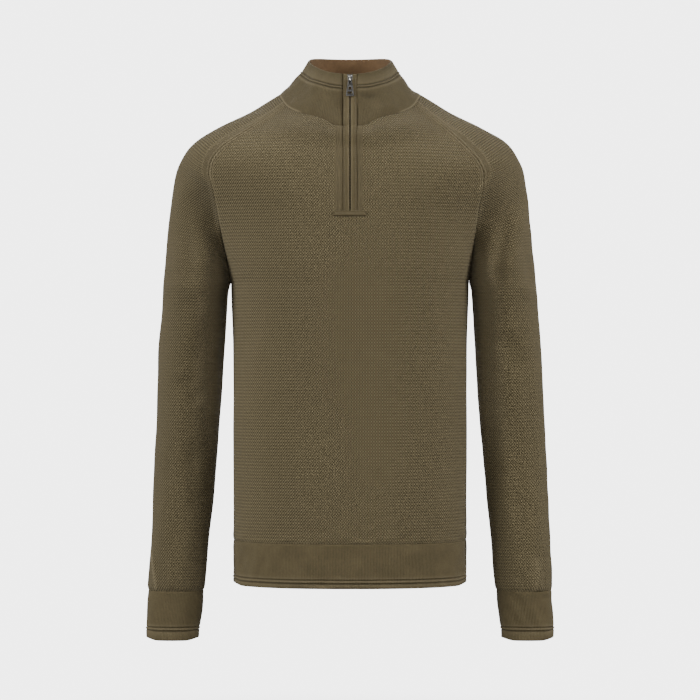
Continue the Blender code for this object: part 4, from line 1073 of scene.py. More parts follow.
# ---------------------------------------------------------------- materials
class Shader:
    """Small helper that writes a Principled material as lines of arithmetic."""

    def __init__(self, name, colour, roughness, metallic=0.0, **sockets):
        self.material = bpy.data.materials.new(name)
        self.material.use_nodes = True
        self.tree = self.material.node_tree
        self.shader = self.tree.nodes["Principled BSDF"]
        self.shader.inputs["Base Color"].default_value = (*colour, 1)
        self.shader.inputs["Roughness"].default_value = roughness
        self.shader.inputs["Metallic"].default_value = metallic
        for socket, value in sockets.items():
            self.shader.inputs[socket.replace("_", " ")].default_value = value

    def node(self, kind, output, settings=None, **inputs):
        node = self.tree.nodes.new(kind)
        for key, value in (settings or {}).items():
            setattr(node, key, value)
        for key, value in inputs.items():
            self.put(node.inputs[key.replace("_", " ")], value)
        return node.outputs[output]

    def put(self, socket, value):
        if isinstance(value, bpy.types.NodeSocket):
            self.tree.links.new(value, socket)
        else:
            socket.default_value = value

    def math(self, operation, *values):
        node = self.tree.nodes.new("ShaderNodeMath")
        node.operation = operation
        for socket, value in zip(node.inputs, values):
            self.put(socket, value)
        return node.outputs[0]

    def sum(self, *values):
        return functools.reduce(lambda a, b: self.math("ADD", a, b), values)

    def times(self, *values):
        return functools.reduce(lambda a, b: self.math("MULTIPLY", a, b), values)

    def rest(self, value):
        """One less this."""
        return self.math("SUBTRACT", 1.0, value)

    def half(self, value):
        """From -1..1 to 0..1."""
        return self.sum(0.5, self.times(value, 0.5))

    def ramp(self, value, low, high):
        """From 0 at low to 1 at high."""
        return self.node("ShaderNodeMapRange", "Result", Value=value, From_Min=low, From_Max=high)

    def wave(self, place, period):
        """A cosine of this period."""
        return self.math("COSINE", self.times(place, 2 * math.pi / period))

    def knit_places(self):
        place = self.node("ShaderNodeUVMap", "UV", {"uv_map": KNIT_UV})
        split = self.tree.nodes.new("ShaderNodeSeparateXYZ")
        self.put(split.inputs[0], place)
        return split.outputs["X"], split.outputs["Y"]

    def attribute(self, name):
        return self.node("ShaderNodeAttribute", "Fac", {"attribute_name": name})

    def noise(self, scale, detail=2.0, roughness=0.5, stretch=None):
        place = self.node("ShaderNodeTexCoord", "Object")
        if stretch is not None:
            place = self.node("ShaderNodeMapping", "Vector", Vector=place, Scale=stretch)
        return self.node("ShaderNodeTexNoise", "Fac", Vector=place, Scale=scale, Detail=detail,
                         Roughness=roughness)

    def mix(self, factor, a, b):
        """A colour between a and b."""
        node = self.tree.nodes.new("ShaderNodeMix")
        node.data_type = "RGBA"
        for socket, value in ((node.inputs[0], factor), (node.inputs[6], a), (node.inputs[7], b)):
            self.put(socket, (*value, 1) if isinstance(value, tuple) else value)
        return node.outputs[2]

    def blend(self, factor, a, b):
        """A number between a and b."""
        node = self.tree.nodes.new("ShaderNodeMix")
        for socket, value in ((node.inputs[0], factor), (node.inputs[2], a), (node.inputs[3], b)):
            self.put(socket, value)
        return node.outputs[0]

    def bump(self, height, distance):
        normal = self.node("ShaderNodeBump", "Normal", Height=height, Distance=distance,
                           Strength=1.0)
        self.put(self.shader.inputs["Normal"], normal)

    def colour(self, value):
        self.put(self.shader.inputs["Base Color"], value)

    def roughness(self, value):
        self.put(self.shader.inputs["Roughness"], value)


def darker(colour, share):
    return tuple(share * c for c in colour)


def plain_height(s, u, v):
    """Fine plain knit: upright wales of little V stitches, from 0 to 1."""
    across = s.math("ABSOLUTE", s.math("SUBTRACT", s.math("FRACT", s.times(u, 1 / WALE)), 0.5))
    round_wale = s.rest(s.times(across, across, 4.0))
    stitch = s.half(s.wave(s.sum(v, s.times(across, 2 * COURSE)), COURSE))
    return s.sum(s.times(round_wale, WALE_SHARE), s.times(stitch, 1 - WALE_SHARE))


def moss_height(s, u, v):
    """Staggered stitches, nearer to rows at a panel's sides and on the sleeve caps, and to
    columns at the top of the front and the back. A sleeve's v is below zero."""
    on_sleeve = s.math("LESS_THAN", v, 0.0)
    past = s.math("MAXIMUM", s.math("SUBTRACT", v, SLEEVE_CAP_KNIT[0]), 0.0)
    rows = s.wave(s.sum(v, s.times(past, on_sleeve, CAP_ROWS_FINER)), MOSS_UP)
    columns = s.wave(u, MOSS_ACROSS)
    aside = s.times(s.math("ABSOLUTE", u), 1 / ROWS_BY)
    aside = s.math("MINIMUM", s.times(aside, s.sum(0.55, s.noise(16.0, 1.0))), 1.0)
    cap = s.ramp(v, *CAP_KNIT)
    sleeve_cap = s.times(s.ramp(v, *SLEEVE_CAP_KNIT), on_sleeve)
    row_weight = s.times(s.blend(aside, *ROW_WEIGHT), s.rest(cap))
    lump = s.sum(0.5, s.times(rows, columns, s.blend(aside, *LUMP_WEIGHT),
                              s.rest(s.times(sleeve_cap, SLEEVE_CAP_LUMP))),
                 s.times(rows, s.blend(sleeve_cap, row_weight, SLEEVE_CAP_ROWS)),
                 s.times(columns, s.sum(s.blend(aside, *COLUMN_WEIGHT),
                                        s.times(cap, CAP_COLUMNS))))
    strand = s.half(s.wave(s.sum(v, s.times(u, STRAND_SLANT)), MOSS_UP / 4))
    return s.sum(s.times(lump, 1 - STRAND_SHARE), s.times(strand, STRAND_SHARE))


def yarn_shader(name, colours, plain_colours, shade_colour, bump):
    """Soft matt wool: heathered yarn, with painted shade between the stitches and where marked,
    and painted light and tone where marked.
    """
    s = Shader(name, colours[0], YARN_ROUGHNESS, Sheen_Weight=SHEEN, Sheen_Roughness=0.45,
               Sheen_Tint=SHEEN_TINT, Specular_IOR_Level=0.25)
    gauges = MOSS_ACROSS, MOSS_UP
    u, v = (s.sum(place, s.times(s.sum(s.noise(scale, 0.0), -0.5), gauge * share))
            for place, gauge, (scale, share) in zip(s.knit_places(), gauges, DRIFT))
    plain = s.attribute("plain")
    moss, flat = moss_height(s, u, v), plain_height(s, u, v)
    height = s.blend(plain, moss, s.sum(s.times(flat, PLAIN_RELIEF),
                                        PLAIN_LEVEL - PLAIN_RELIEF / 2))
    fibre, fuzz = s.noise(*FIBRE), s.noise(*FUZZ)
    mottle = s.sum(s.times(s.noise(*MOTTLE), PLAIN_MOTTLE), s.times(fuzz, PLAIN_FUZZ))
    shade = s.blend(plain, moss, s.sum(s.times(flat, PLAIN_TONE), mottle,
                                       PLAIN_TONE_LEVEL - (PLAIN_MOTTLE + PLAIN_FUZZ) / 2))
    cloudy = s.sum(*(s.times(s.noise(*cloud), 0.5) for cloud in CLOUDS))
    heather = s.sum(s.times(cloudy, 0.5), s.times(fuzz, 0.5))
    light, dark = (s.mix(plain, *pair) for pair in zip(colours, plain_colours))
    yarn = s.mix(heather, dark, light)
    yarn = s.mix(s.times(fibre, FIBRE_DARK), yarn, dark)
    # Partly the knit's pattern, partly painted shade: darker between the stitches.
    deep = s.rest(s.math("MINIMUM", s.times(shade, STITCH_SHADE_GAIN), 1.0))
    yarn = s.mix(s.times(deep, STITCH_SHADE_SHARE), yarn, shade_colour)
    # Painted light and tone where marked.
    yarn = s.mix(s.times(s.attribute("worn"), PAINTED_LIGHT_AND_TONE_SHARE), yarn, PAINTED_LIGHT_AND_TONE_COLOUR)
    # Painted shade where marked.
    s.colour(s.mix(s.times(s.attribute("painted_shade"), PAINTED_SHADE_SHARE), yarn, shade_colour))
    s.roughness(s.sum(YARN_ROUGHNESS - FUZZ_ROUGHNESS / 2, s.times(fuzz, FUZZ_ROUGHNESS)))
    s.bump(s.sum(height, s.times(fibre, FIBRE_BUMP), s.times(fuzz, FUZZ_BUMP)), bump)
    return s.material


def metal_shader(name, colour, roughness, scratch):
    s = Shader(name, colour, roughness, 1.0)
    wear, streak = s.noise(*WEAR), s.noise(*STREAKS)
    s.roughness(s.sum(roughness - 0.06, s.times(streak, 0.14)))
    s.colour(s.mix(wear, darker(colour, WEAR_DARK), colour))
    s.bump(s.sum(s.times(wear, 0.5), s.times(streak, 0.5)), scratch)
    return s.material


def tape_shader(name, colour):
    """Close woven zip tape, with its ribs across."""
    s = Shader(name, colour, 0.85, Sheen_Weight=0.1)
    u, v = s.knit_places()
    weave = s.sum(0.5, s.times(s.wave(v, TAPE_WEAVE[0]), s.wave(u, TAPE_WEAVE[1]), 0.5))
    s.colour(s.mix(weave, darker(colour, 0.6), colour))
    s.bump(weave, 0.0001)
    return s.material


def thread_shader(name, colour):
    s = Shader(name, colour, 0.7, Sheen_Weight=0.15)
    twist = s.noise(1800.0, 1.0, 0.5)
    s.colour(s.mix(twist, darker(colour, 0.7), colour))
    s.bump(twist, 0.00008)
    return s.material


# ---------------------------------------------------------------- cloth pieces
def cap_shares():
    """Shares up the raglan seam, closer together just below the neckline."""
    return np.concatenate([np.linspace(0, 0.955, CAP_ROWS + 1), CAP_TOP_SHARES])


def rows_up(seam_z, count):
    """Heights from a seam to just under the armpit, closer together over the seam."""
    start = seam_z + np.array(SEAM_ROWS)
    return np.concatenate([start, np.linspace(start[-1], ARMPIT_Z, count + 1)[1:-1]])


def body_rows():
    return rows_up(HEM_SEAM_Z, BODY_ROWS)


def lengths_along(points, axis):
    """Lengths from the first and from the last point, along one axis of a grid."""
    steps = np.linalg.norm(np.diff(points, axis=axis), axis=2)
    first = np.zeros_like(np.take(steps, [0], axis=axis))
    reach = np.concatenate([first, np.cumsum(steps, axis=axis)], axis=axis)
    return reach, np.take(reach, [-1], axis=axis) - reach


def knit_up(points, column_index):
    """Knit length up a panel at each point, level with the same height on the given column."""
    line = points[:, column_index]
    reach, z = lengths_of(line), line[:, 2]
    slope = (reach[-1] - reach[-4]) / (z[-1] - z[-4])
    return np.interp(points[..., 2], np.append(z, z[-1] + ABOVE_PANEL),
                     np.append(reach, reach[-1] + slope * ABOVE_PANEL))


def row_shares(z_rows):
    """Share up the raglan seam of each row of a grid, 0 below the armpit."""
    return np.concatenate([np.zeros(len(z_rows)), cap_shares()])[:, None]


def relax(cloth, seed, edge_distance, fine):
    """Gives smooth knit the slight unevenness of worn cloth, fading at its seams."""
    fade = ease(edge_distance / CALM_BY_SEAMS)
    cloth.rise += fade * (WIDE_RIPPLE[0] * ripple(cloth.points, seed, WIDE_RIPPLE[1])
                          + fine * ripple(cloth.points, seed + 1, FINE_WAVE))


def draw_lines(cloth, distance, lines, shown=1.0):
    """Adds soft lines along an edge: which finish, how much, how far from it, half width."""
    for finish, amount, at, half in lines:
        line = shown * amount * ridge(distance, at, half)
        setattr(cloth, finish, getattr(cloth, finish) + line)


def seam_valley(cloth, distance, shown, shade):
    """The shallow valley where two pieces are linked, with painted shade in its depth."""
    draw_lines(cloth, distance, (("rise", -SEAM_DEEP, 0, SEAM_VALLEY_HALF),
                                 ("painted_shade", shade, 0, SEAM_VALLEY_HALF)), shown)


def settle(cloth, seed, from_seam, calm, share, low_shade, neck_shown=NECK_SHOWN,
           fine=FINE_UNEVEN):
    """Unevenness, soft folds and seam valleys; returns the lengths from the lower and the upper
    edge."""
    bottom, top = lengths_along(cloth.points, 0)
    relax(cloth, seed, np.minimum(np.minimum(bottom, top), calm), fine)
    cloth.rise += fold_rise(cloth.points, cloth.normals) * ease(from_seam / FOLDS_FROM_SEAM)
    side_valley(cloth, from_seam, share)
    seam_valley(cloth, bottom, HEM_SHOWN, low_shade)
    seam_valley(cloth, top, neck_shown, NECK_SHADE)
    return bottom, top


def side_valley(cloth, distance, share):
    """The valley along a panel's side, left out where the armpit's deep crease takes its place."""
    below = ease((ARMPIT_Z - CREASE_BELOW - cloth.points[..., 2]) / CREASE_FADE)
    above = ease((share - VALLEY_UNTIL) / (SMOOTH_BY - VALLEY_UNTIL))
    seam_valley(cloth, distance, np.maximum(below * (share <= 0), RAGLAN_SHOWN * above), 0)


def raglan_strip(cloth, distance, share, width, lines):
    """Plain strip beside the raglan seam, lightened with painted light, with raised lines carrying
    painted highlights and shade; returns how far it shows.
    """
    shown = ease((share - BAND_FROM) / BAND_FADE)
    cloth.plain = np.maximum(cloth.plain, shown * (1 - ease((distance - width) / PLAIN_EDGE)))
    cloth.worn += shown * STRIP_PAINTED_LIGHT * (distance < width)
    draw_lines(cloth, distance, lines, shown)
    return shown


def finish_body(cloth, distance, share, bottom, seed):
    """Raglan strip, a painted highlight along the body's edge below it, and puckers by the hem."""
    raglan_strip(cloth, distance, share, BODY_BAND, BODY_LINES)
    below = 1 - ease((share - EDGE_LIGHT_UNTIL) / EDGE_LIGHT_FADE)
    draw_lines(cloth, distance, EDGE_LINES, below)
    cloth.rise += (PUCKER_RISE * np.exp(-bottom / PUCKER_HEIGHT) * ease(bottom / PUCKER_FROM)
                   * ripple(cloth.points, seed, PUCKER_WAVE))


def raglan_band_on_sleeve(cloth, distance, share):
    """Plain band beside the seam, with painted highlights on its raised lines; near the neck it
    carries a second raised line, with painted shade in the ditch beside it.
    """
    width = np.interp(share, *zip(*SLEEVE_BAND))
    shown = raglan_strip(cloth, distance, share, width, SLEEVE_LINES)
    draw_lines(cloth, distance - width, BAND_EDGE_LINES, shown)
    draw_lines(cloth, distance, NECK_LINES,
               shown * ease((share - NECK_LINES_FROM) / NECK_LINES_FADE))


def sleeve_hollow(cloth, distance, share, side):
    """The sleeve sinks away behind the body's edge below the raglan bend, with painted shade on
    its front and by the bend, and painted light on its inner side by the gap.
    """
    deep, far, fade_low, fade_over = HOLLOWS[side]
    low = -cloth.points[..., 2]
    shown = 1 - ease((share - HOLLOW_UNTIL) / HOLLOW_FADE)
    shown = shown * ease((cloth.points[..., 2] - fade_low) / fade_over)
    cloth.rise -= deep * shown * window(distance, 0, HOLLOW_NEAR, HOLLOW_NEAR, far)
    forward, inward = -cloth.normals[..., 1], -side * cloth.normals[..., 0]
    # Painted shade on the sleeve's front and by the raglan bend; painted light on its inner side
    # by the gap.
    front = ease(0.5 + 2 * forward) * ease((low - FRONT_SHADE_FROM) / FRONT_SHADE_FADE)
    by_bend = window(low, *BEND_SHADE_WINDOW) * (1 - ease((distance - BEND_NEAR) / BEND_FADE))
    cloth.painted_shade += front * (SLEEVE_SHADE[side] + BEND_SHADE[side] * by_bend)
    cloth.worn += SLEEVE_BOUNCE * ease(1.5 * inward) * window(low, *GAP_LIGHT)


def neck_ease(distance, lines):
    """How far the cloth is eased out at this distance from the neckline seam, down the middle
    of the front, so that the collar flows into the chest."""
    return sum(amount * ridge(distance, at, half) for amount, at, half in lines)


def front_middle(points):
    return ease((MIDDLE_HALF - np.abs(points[..., 0])) / MIDDLE_FADE) * (points[..., 1] < 0)


def round_corners(grid, normals, height, lift, aside_from):
    """Lifts a band's lower edge at its two sides, so that its corners look rounded."""
    aside = ease((np.abs(normals[..., 0]) - aside_from) / (1 - aside_from))
    grid[..., 2] += lift * aside * (1 - ease(height / CORNER_HEIGHT))


def build_front(front, normals, knit):
    middle = PANEL_HALF_COLUMNS + 1
    left, left_normals, left_seam, left_slit = set_out_rows(
        front[:, :middle], normals[:, :middle], spread(SEAM_STEPS, SLIT_STEPS, PANEL_MIDDLE))
    right, right_normals, right_slit, right_seam = set_out_rows(
        front[:, middle:], normals[:, middle:], spread(SLIT_STEPS, SEAM_STEPS, PANEL_MIDDLE))
    between = np.linspace(0, 1, SLIT_CELLS + 1)[1:-1][None, :, None]
    bridge = blend(left[:, -1:], right[:, :1], between)
    bridge_normals = unit(blend(left_normals[:, -1:], right_normals[:, :1], between))
    none = np.zeros(bridge.shape[:2])
    points, normals, from_seam, from_slit, across = (
        np.concatenate(parts, axis=1) for parts in (
            (left, bridge, right), (left_normals, bridge_normals, right_normals),
            (left_seam, none + 1, right_seam), (left_slit, none, right_slit),
            (-left_slit - SLIT_HALF, bridge[..., 0], right_slit + SLIT_HALF)))
    first = left.shape[1] - 1
    last = first + SLIT_CELLS
    slit_row = int(np.argmin(np.abs(points[:, first, 2] - SLIT_END_Z)))
    points[slit_row, first:last + 1, 2] = SLIT_END_Z
    cloth = Cloth(points, normals, across, knit_up(points, first))
    share = row_shares(body_rows())
    width = np.where(points[..., 0] < 0, PLACKET_LEFT, PLACKET_RIGHT)
    neck_shown = NECK_SHOWN * ease((from_slit - width + 0.001) / NECK_BESIDE_ZIP)
    calm = np.minimum(from_seam, from_slit + CALM_AT_SLIT)
    bottom, top = settle(cloth, 11, from_seam, calm, share, HEM_SHADE, neck_shown, CHEST_UNEVEN)
    cloth.rise += neck_ease(top, CHEST_EASE) * front_middle(points)
    draw_lines(cloth, top, CHEST_PAINTED_SHADE, front_middle(points))
    finish_body(cloth, from_seam, share, bottom, 21)
    beside_zip = ease((points[..., 2] - PLACKET_FROM[0]) / PLACKET_FROM[1])
    inside = beside_zip * (1 - ease((from_slit - width) / PLAIN_EDGE))
    cloth.plain = np.maximum(cloth.plain, inside)
    cloth.worn += PLACKET_LIGHTEN * inside
    draw_lines(cloth, from_slit - width, PLACKET_LINES, beside_zip)
    seam_valley(cloth, from_slit, ZIP_EDGE_SHOWN * beside_zip, ZIP_SHADE)

    def open_slit(r, c):
        return (c >= first) & (c < last) & (r >= slit_row)

    return cloth.build("front_panel", [knit], skip=open_slit), cloth


def build_back(back, normals, knit):
    points, normals, start, end = set_out_rows(
        back, normals, spread(SEAM_STEPS, SEAM_STEPS, 2 * PANEL_MIDDLE))
    cloth = Cloth(points, normals, start - start[:, -1:] / 2,
                  knit_up(points, points.shape[1] // 2))
    from_seam, share = np.minimum(start, end), row_shares(body_rows())
    bottom = settle(cloth, 31, from_seam, from_seam, share, HEM_SHADE)[0]
    finish_body(cloth, from_seam, share, bottom, 23)
    return cloth.build("back_panel", [knit]), cloth


def build_sleeve(name, side, seam_normals, knit, seed):
    tube_z = rows_up(CUFF_SEAM_Z, SLEEVE_ROWS)
    tube = len(tube_z)
    arc = np.linspace(0, 1, SLEEVE_HALF_COLUMNS + 1)
    grid = sleeve_grid(side, cap_shares(), tube_z, arc, seam_normals)
    if side < 0:
        grid = grid[:, ::-1]
        seam_normals = seam_normals[::-1]
    normals = grid_normals(grid)
    for edge, panel in zip((0, -1), seam_normals):
        share_seam_normals(panel, normals[tube:, edge])
    normals[:tube + 1, 0] = normals[:tube + 1, -1] = (-side, 0, 0)
    normals[-1] = collar_base_normals(grid[-1])
    points, normals, start, end = set_out_rows(
        grid, normals, spread(SEAM_STEPS, SEAM_STEPS, SLEEVE_MIDDLE))
    outer_place = lengths_along(grid[:, :SLEEVE_HALF_COLUMNS + 1], 1)[0][:, -1:]
    up = lengths_along(grid[:, SLEEVE_HALF_COLUMNS, None], 0)[0]
    cloth = Cloth(points, normals, start - outer_place,
                  np.broadcast_to(up, start.shape) + SLEEVE_KNIT_FROM)
    from_seam, share = np.minimum(start, end), row_shares(tube_z)
    bottom = settle(cloth, seed, from_seam, from_seam + CALM_AT_SLEEVE, share, CUFF_SHADE)[0]
    sleeve_hollow(cloth, from_seam, share, side)
    raglan_band_on_sleeve(cloth, from_seam, share)
    gathers(cloth, bottom, start, seed)
    pleat_light(cloth)
    return cloth.build(name, [knit], tube_rows=tube), cloth


def pleat_light(cloth):
    """Painted highlights along the pleats pressed in above the cuffs."""
    for x_top, z_top, x_bottom, z_bottom, half_width, strength in PLEAT_LIGHTS:
        aside = beside_line(cloth.points, (x_top, z_top), (x_bottom, z_bottom))[1]
        cloth.worn += strength * ridge(aside, 0, half_width) * (cloth.normals[..., 1] < 0)


def gathers(cloth, bottom, around, seed):
    """Small upright pleats where the sleeve is drawn into its cuff."""
    draw = np.random.default_rng(seed)
    angle = 2 * np.pi * around / around[:, -1:]
    pleats = sum(np.sin(count * angle + draw.uniform(0, 2 * np.pi)) / 2
                 for count in GATHER_COUNTS)
    pleats = np.maximum(pleats, GATHER_FLOOR)
    cloth.rise += (GATHER_RISE * pleats * ease(bottom / GATHER_FROM)
                   * np.exp(-(bottom / GATHER_HEIGHT) ** 2))


def build_band(grid, normals, wall, free_is_low, welt_at, seed, seam_shown, shade,
               uneven=BAND_UNEVEN, ditch_aside=1.25 * WELT_HALF, corner=None):
    """Doubled plain band: rounded free edge, a raised line with painted highlights between two
    ditches with painted shade, a seam edge.
    """
    low, high = lengths_along(grid, 0)
    free, seam = (low, high) if free_is_low else (high, low)
    around = lengths_along(grid, 1)[0]
    if corner:
        round_corners(grid, normals, low, *corner)
    cloth = Cloth(grid, normals, around / around[:, -1:] * around[:, -1].mean(), low)
    fall = rounding(free, wall / 2)
    cloth.depth = wall - fall
    cloth.plain[:] = 1
    cloth.rise = -fall
    draw_lines(cloth, free - welt_at, (("rise", WELT_RISE, 0, 0.6 * WELT_HALF),))
    for aside in (-ditch_aside, ditch_aside):
        draw_lines(cloth, free - welt_at - aside, DITCH_LINES)
    draw_lines(cloth, free - welt_at, WELT_PAINTED_HIGHLIGHTS)
    seam_valley(cloth, seam, seam_shown, shade)
    calm = ease(free / FREE_CALM) * ease(seam / SEAM_CALM)
    cloth.rise += calm * (uneven * ripple(grid, seed, FINE_WAVE)
                          + BAND_FINE * ripple(grid, seed + 1, BAND_WAVE))
    return cloth


def edge_rows(total, free_first, welt_at):
    """Lengths up a band, close together over its free edge, its welt and its seam."""
    over_welt = welt_at + WELT_STEPS * WELT_HALF
    between = np.linspace(over_welt[-1], total - SEAM_EDGE_FROM, BAND_MIDDLE)[1:]
    steps = np.concatenate([EDGE_STEPS, over_welt, between, total - np.array(SEAM_EDGE_STEPS)])
    return steps if free_first else (total - steps)[::-1]


def build_tube_band(name, ring_at, seed, material, size):
    """Hem band or cuff: a closed band whose free edge is its lower one."""
    low, seam_z, columns, welt_at, shade, corner = size
    heights = low + edge_rows(seam_z - HALF_GAP - low, True, welt_at)
    grid = np.array([ring_at(z) for z in heights])
    even = spread(RING_ENDS, RING_ENDS, columns)
    grid, normals, _, _ = set_out_rows(grid, closed_ring_normals(grid), even)
    cloth = build_band(grid, normals, BAND_WALL, True, welt_at, seed, HEM_SHOWN, shade,
                       corner=corner)
    return cloth.build(name, [material], tube_rows=len(heights)), cloth


def build_collar(materials):
    rounds = np.linspace(0, 1, COLLAR_COLUMNS + 1)
    fine = collar_profile(rounds, np.linspace(0, 1, COLLAR_FINE_ROWS))
    normals = grid_normals(fine, rounds)
    flatten_slit_normals(normals, [0, -1])
    columns = []
    for line in np.concatenate([fine, normals], axis=2).transpose(1, 0, 2):
        columns.append(set_out(line, lambda total: edge_rows(total, False, COLLAR_WELT_SHOWN))[0])
    grid = np.array(columns).transpose(1, 0, 2)
    rim = lengths_along(grid[..., :3], 0)[1]
    sideways = grid[..., 3] * np.abs(grid[..., 3])
    grid[..., 0] -= COLLAR_SLIM * sideways * (1 - ease(rim / SLIM_BELOW_RIM - 1))
    beside = ease((np.abs(grid[..., 0]) - SLIT_HALF - PLACKET_RIGHT) / NECK_BESIDE_ZIP)
    cloth = build_band(grid[..., :3], unit(grid[..., 3:]), COLLAR_WALL, False, COLLAR_WELT_SHOWN,
                       51, NECK_SHOWN * beside, NECK_SHADE, COLLAR_UNEVEN, COLLAR_DITCH_ASIDE)
    start, end = lengths_along(grid[..., :3], 1)
    seam_valley(cloth, np.minimum(start, end), COLLAR_END_SHOWN, ZIP_SHADE)
    x, y, z = (cloth.points[..., i] for i in range(3))
    at_x, at_z, half_x, half_z = COLLAR_DENT
    dent = ridge(x, at_x, half_x) * ridge(z, at_z, half_z) * (y < 0)
    cloth.rise -= DENT_DEEP * dent
    cloth.painted_shade += DENT_SHADE * dent
    low = lengths_along(cloth.points, 0)[0]
    corner = ease((np.abs(x) - NECK_CORNER_X[0]) / NECK_CORNER_X[1]) * (y < 0)
    draw_lines(cloth, low, NECK_CORNER_LINES, corner)
    cloth.rise += neck_ease(low, COLLAR_EASE) * front_middle(cloth.points)
    return cloth.build("collar_knit", materials), cloth


# ---------------------------------------------------------------- zip
class FrontLine:
    """The line down the middle of the collar and the front, in the YZ plane."""

    def __init__(self, front_grid):
        collar = collar_profile(np.array([0.0]), np.linspace(0, 1, 60))[:, 0]
        panel = front_grid[:, PANEL_HALF_COLUMNS]
        panel = panel[panel[:, 2] > END_BAR_Z - 0.03]
        up_panel = lengths_of(panel)
        panel[:, 1] -= neck_ease(up_panel[-1] - up_panel, CHEST_EASE)
        collar[:, 1] -= neck_ease(lengths_of(collar), COLLAR_EASE)
        line = np.concatenate([panel, collar[1:]])
        self.z, self.y = line[:, 2], line[:, 1]
        self.top = collar[-1][2]

    def at(self, z):
        return np.interp(z, self.z, self.y)

    def frame(self, z, span=0.004):
        """Point on the line with its inward and upward directions, at each height."""
        z = np.asarray(z, float)
        lean = np.arctan2(self.at(z + span) - self.at(z - span), 2 * span)
        flat = np.zeros_like(z)
        point = np.stack([flat, self.at(z), z], axis=-1)
        inward = np.stack([flat, np.cos(lean), -np.sin(lean)], axis=-1)
        up = np.stack([flat, np.sin(lean), np.cos(lean)], axis=-1)
        return point, inward, up


def zip_strip(line, side, edges, columns, low, high, step, depth):
    """A flat strip beside the zip, this deep behind the front's line; with its columns' distances
    from the middle and its rows' heights."""
    x = np.sort(side * np.linspace(*edges, columns))
    z = np.linspace(low, high, int((high - low) / step) + 1)
    point, inward, _ = line.frame(z)
    points = point[:, None] + x[None, :, None] * np.array([1.0, 0, 0]) + inward[:, None] * depth
    normals = np.broadcast_to(-inward[:, None], points.shape).copy()
    return Cloth(points, normals, points[..., 0], lengths_along(points, 0)[0]), np.abs(x), z


def puffed(edge, radius):
    """Height of a folded edge as a share: 0 at its end and 1 from this radius on."""
    return np.sqrt(np.clip(1 - (1 - edge / radius).clip(0) ** 2, 0, 1))


def build_facing(name, side, line, knit):
    """Folded plain strip that covers one half of the zip, puffed between its two edges."""
    cloth, x, z = zip_strip(line, side, (FACING_INNER, FACING_REACH), FACING_COLUMNS,
                            SLIT_END_Z + SEAM_GAP, line.top - FACING_SHORT, FACING_STEP, 0.0)
    edge = np.minimum(x - FACING_INNER, FACING_REACH - x)
    cloth.rise += FACING_PUFF * puffed(edge, FACING_EDGE)
    draw_lines(cloth, FACING_REACH - x - FACING_STITCH, SUNK_LINES)
    top = (line.top - z)[:, None]
    cloth.rise *= 1 - ease((FACING_TOP[0] - top) / FACING_TOP[1])
    cloth.rise -= rounding(top, FACING_TOP_ROUND)
    cloth.rise += FACING_RIPPLE[0] * ripple(cloth.points, 61 if side < 0 else 62,
                                            FACING_RIPPLE[1])
    cloth.depth[:] = FACING_WALL - rounding(top, FACING_BACK_ROUND) * 0.9
    cloth.plain[:] = 1
    draw_lines(cloth, x - FACING_INNER, FACING_LINES)
    return cloth.build(name, [knit]), cloth


def build_tape(name, side, line, tape):
    cloth = zip_strip(line, side, (TAPE_INNER_X, FACING_OUTER), TAPE_COLUMNS,
                      SLIT_END_Z + 2 * SEAM_GAP, line.top - TAPE_SHORT, TAPE_STEP, TAPE_DEPTH)[0]
    cloth.depth[:] = TAPE_WALL
    return cloth.build(name, [tape]), cloth


def cylinder_between(bm, start, end, radius, sides, flatten=1.0):
    """A rounded little bar from start to end, wider across than deep if flattened."""
    start, end = Vector(start), Vector(end)
    length = (end - start).length
    axis = (end - start).normalized()
    side = axis.cross(Vector((0, 1, 0)))
    side = side.normalized() if side.length > 1e-6 else Vector((1, 0, 0))
    other = axis.cross(side)
    stops = [(t * radius, math.sqrt(1 - (1 - t) ** 2) * radius) for t in BAR_RINGS]
    loops = []
    for at, wide in stops + [(length - at, wide) for at, wide in reversed(stops)]:
        angles = [2 * math.pi * i / sides for i in range(sides)]
        loops.append([bm.verts.new(start + axis * at + side * (math.cos(angle) * wide * flatten)
                                   + other * (math.sin(angle) * wide)) for angle in angles])
    for low, high in zip(loops, loops[1:]):
        for i in range(sides):
            bm.faces.new((low[i], low[(i + 1) % sides], high[(i + 1) % sides], high[i]))
    for loop, tip, turn in ((loops[0], start, -1), (loops[-1], end, 1)):
        point = bm.verts.new(tip)
        for i in range(sides):
            bm.faces.new((loop[i], loop[(i + 1) % sides], point)[::turn])


def solid_from(name, bm, finish, body="garment"):
    bmesh.ops.recalc_face_normals(bm, faces=bm.faces)
    mesh = bpy.data.meshes.new(name)
    bm.to_mesh(mesh)
    bm.free()
    mesh.materials.append(finish)
    mesh.shade_smooth()
    mesh.set_sharp_from_angle(angle=SHARP_FROM)
    return placed(name, mesh, body)


def build_teeth(line, metal):
    """Interlocking teeth, seen end on down the slot between the facings."""
    bm = bmesh.new()
    low, high = SLIT_END_Z + 0.0015, SLIDER_Z + POST_LOW - 0.001
    for i in range(int((high - low) / TOOTH_PITCH)):
        side = -1 if i % 2 else 1
        point, inward, _ = line.frame(low + i * TOOTH_PITCH)
        middle = Vector(point + inward * (TAPE_DEPTH + CHAIN_WALL / 2))
        inner = middle + Vector((-side * TOOTH_REACH, 0, 0))
        outer = middle + Vector((side * CHAIN_HALF, 0, 0))
        cylinder_between(bm, inner, outer, TOOTH_RADIUS, 8, TOOTH_FLATTEN)
    return solid_from("zip_teeth", bm, metal)


def stitches(name, runs, thread):
    """Rows of short stitches: each run lists points along a seam and the outward directions."""
    def ends(total):
        starts = np.arange(int(total / STITCH_PITCH))[:, None]
        return ((starts + STITCH_ENDS) * STITCH_PITCH).ravel()

    bm = bmesh.new()
    for points, outward in runs:
        row = set_out(np.concatenate([points, outward], axis=1), ends)[0]
        for start, end in (row[:, :3] + row[:, 3:] * STITCH_LIFT).reshape(-1, 2, 3):
            cylinder_between(bm, start, end, STITCH_RADIUS, 6)
    return solid_from(name, bm, thread)


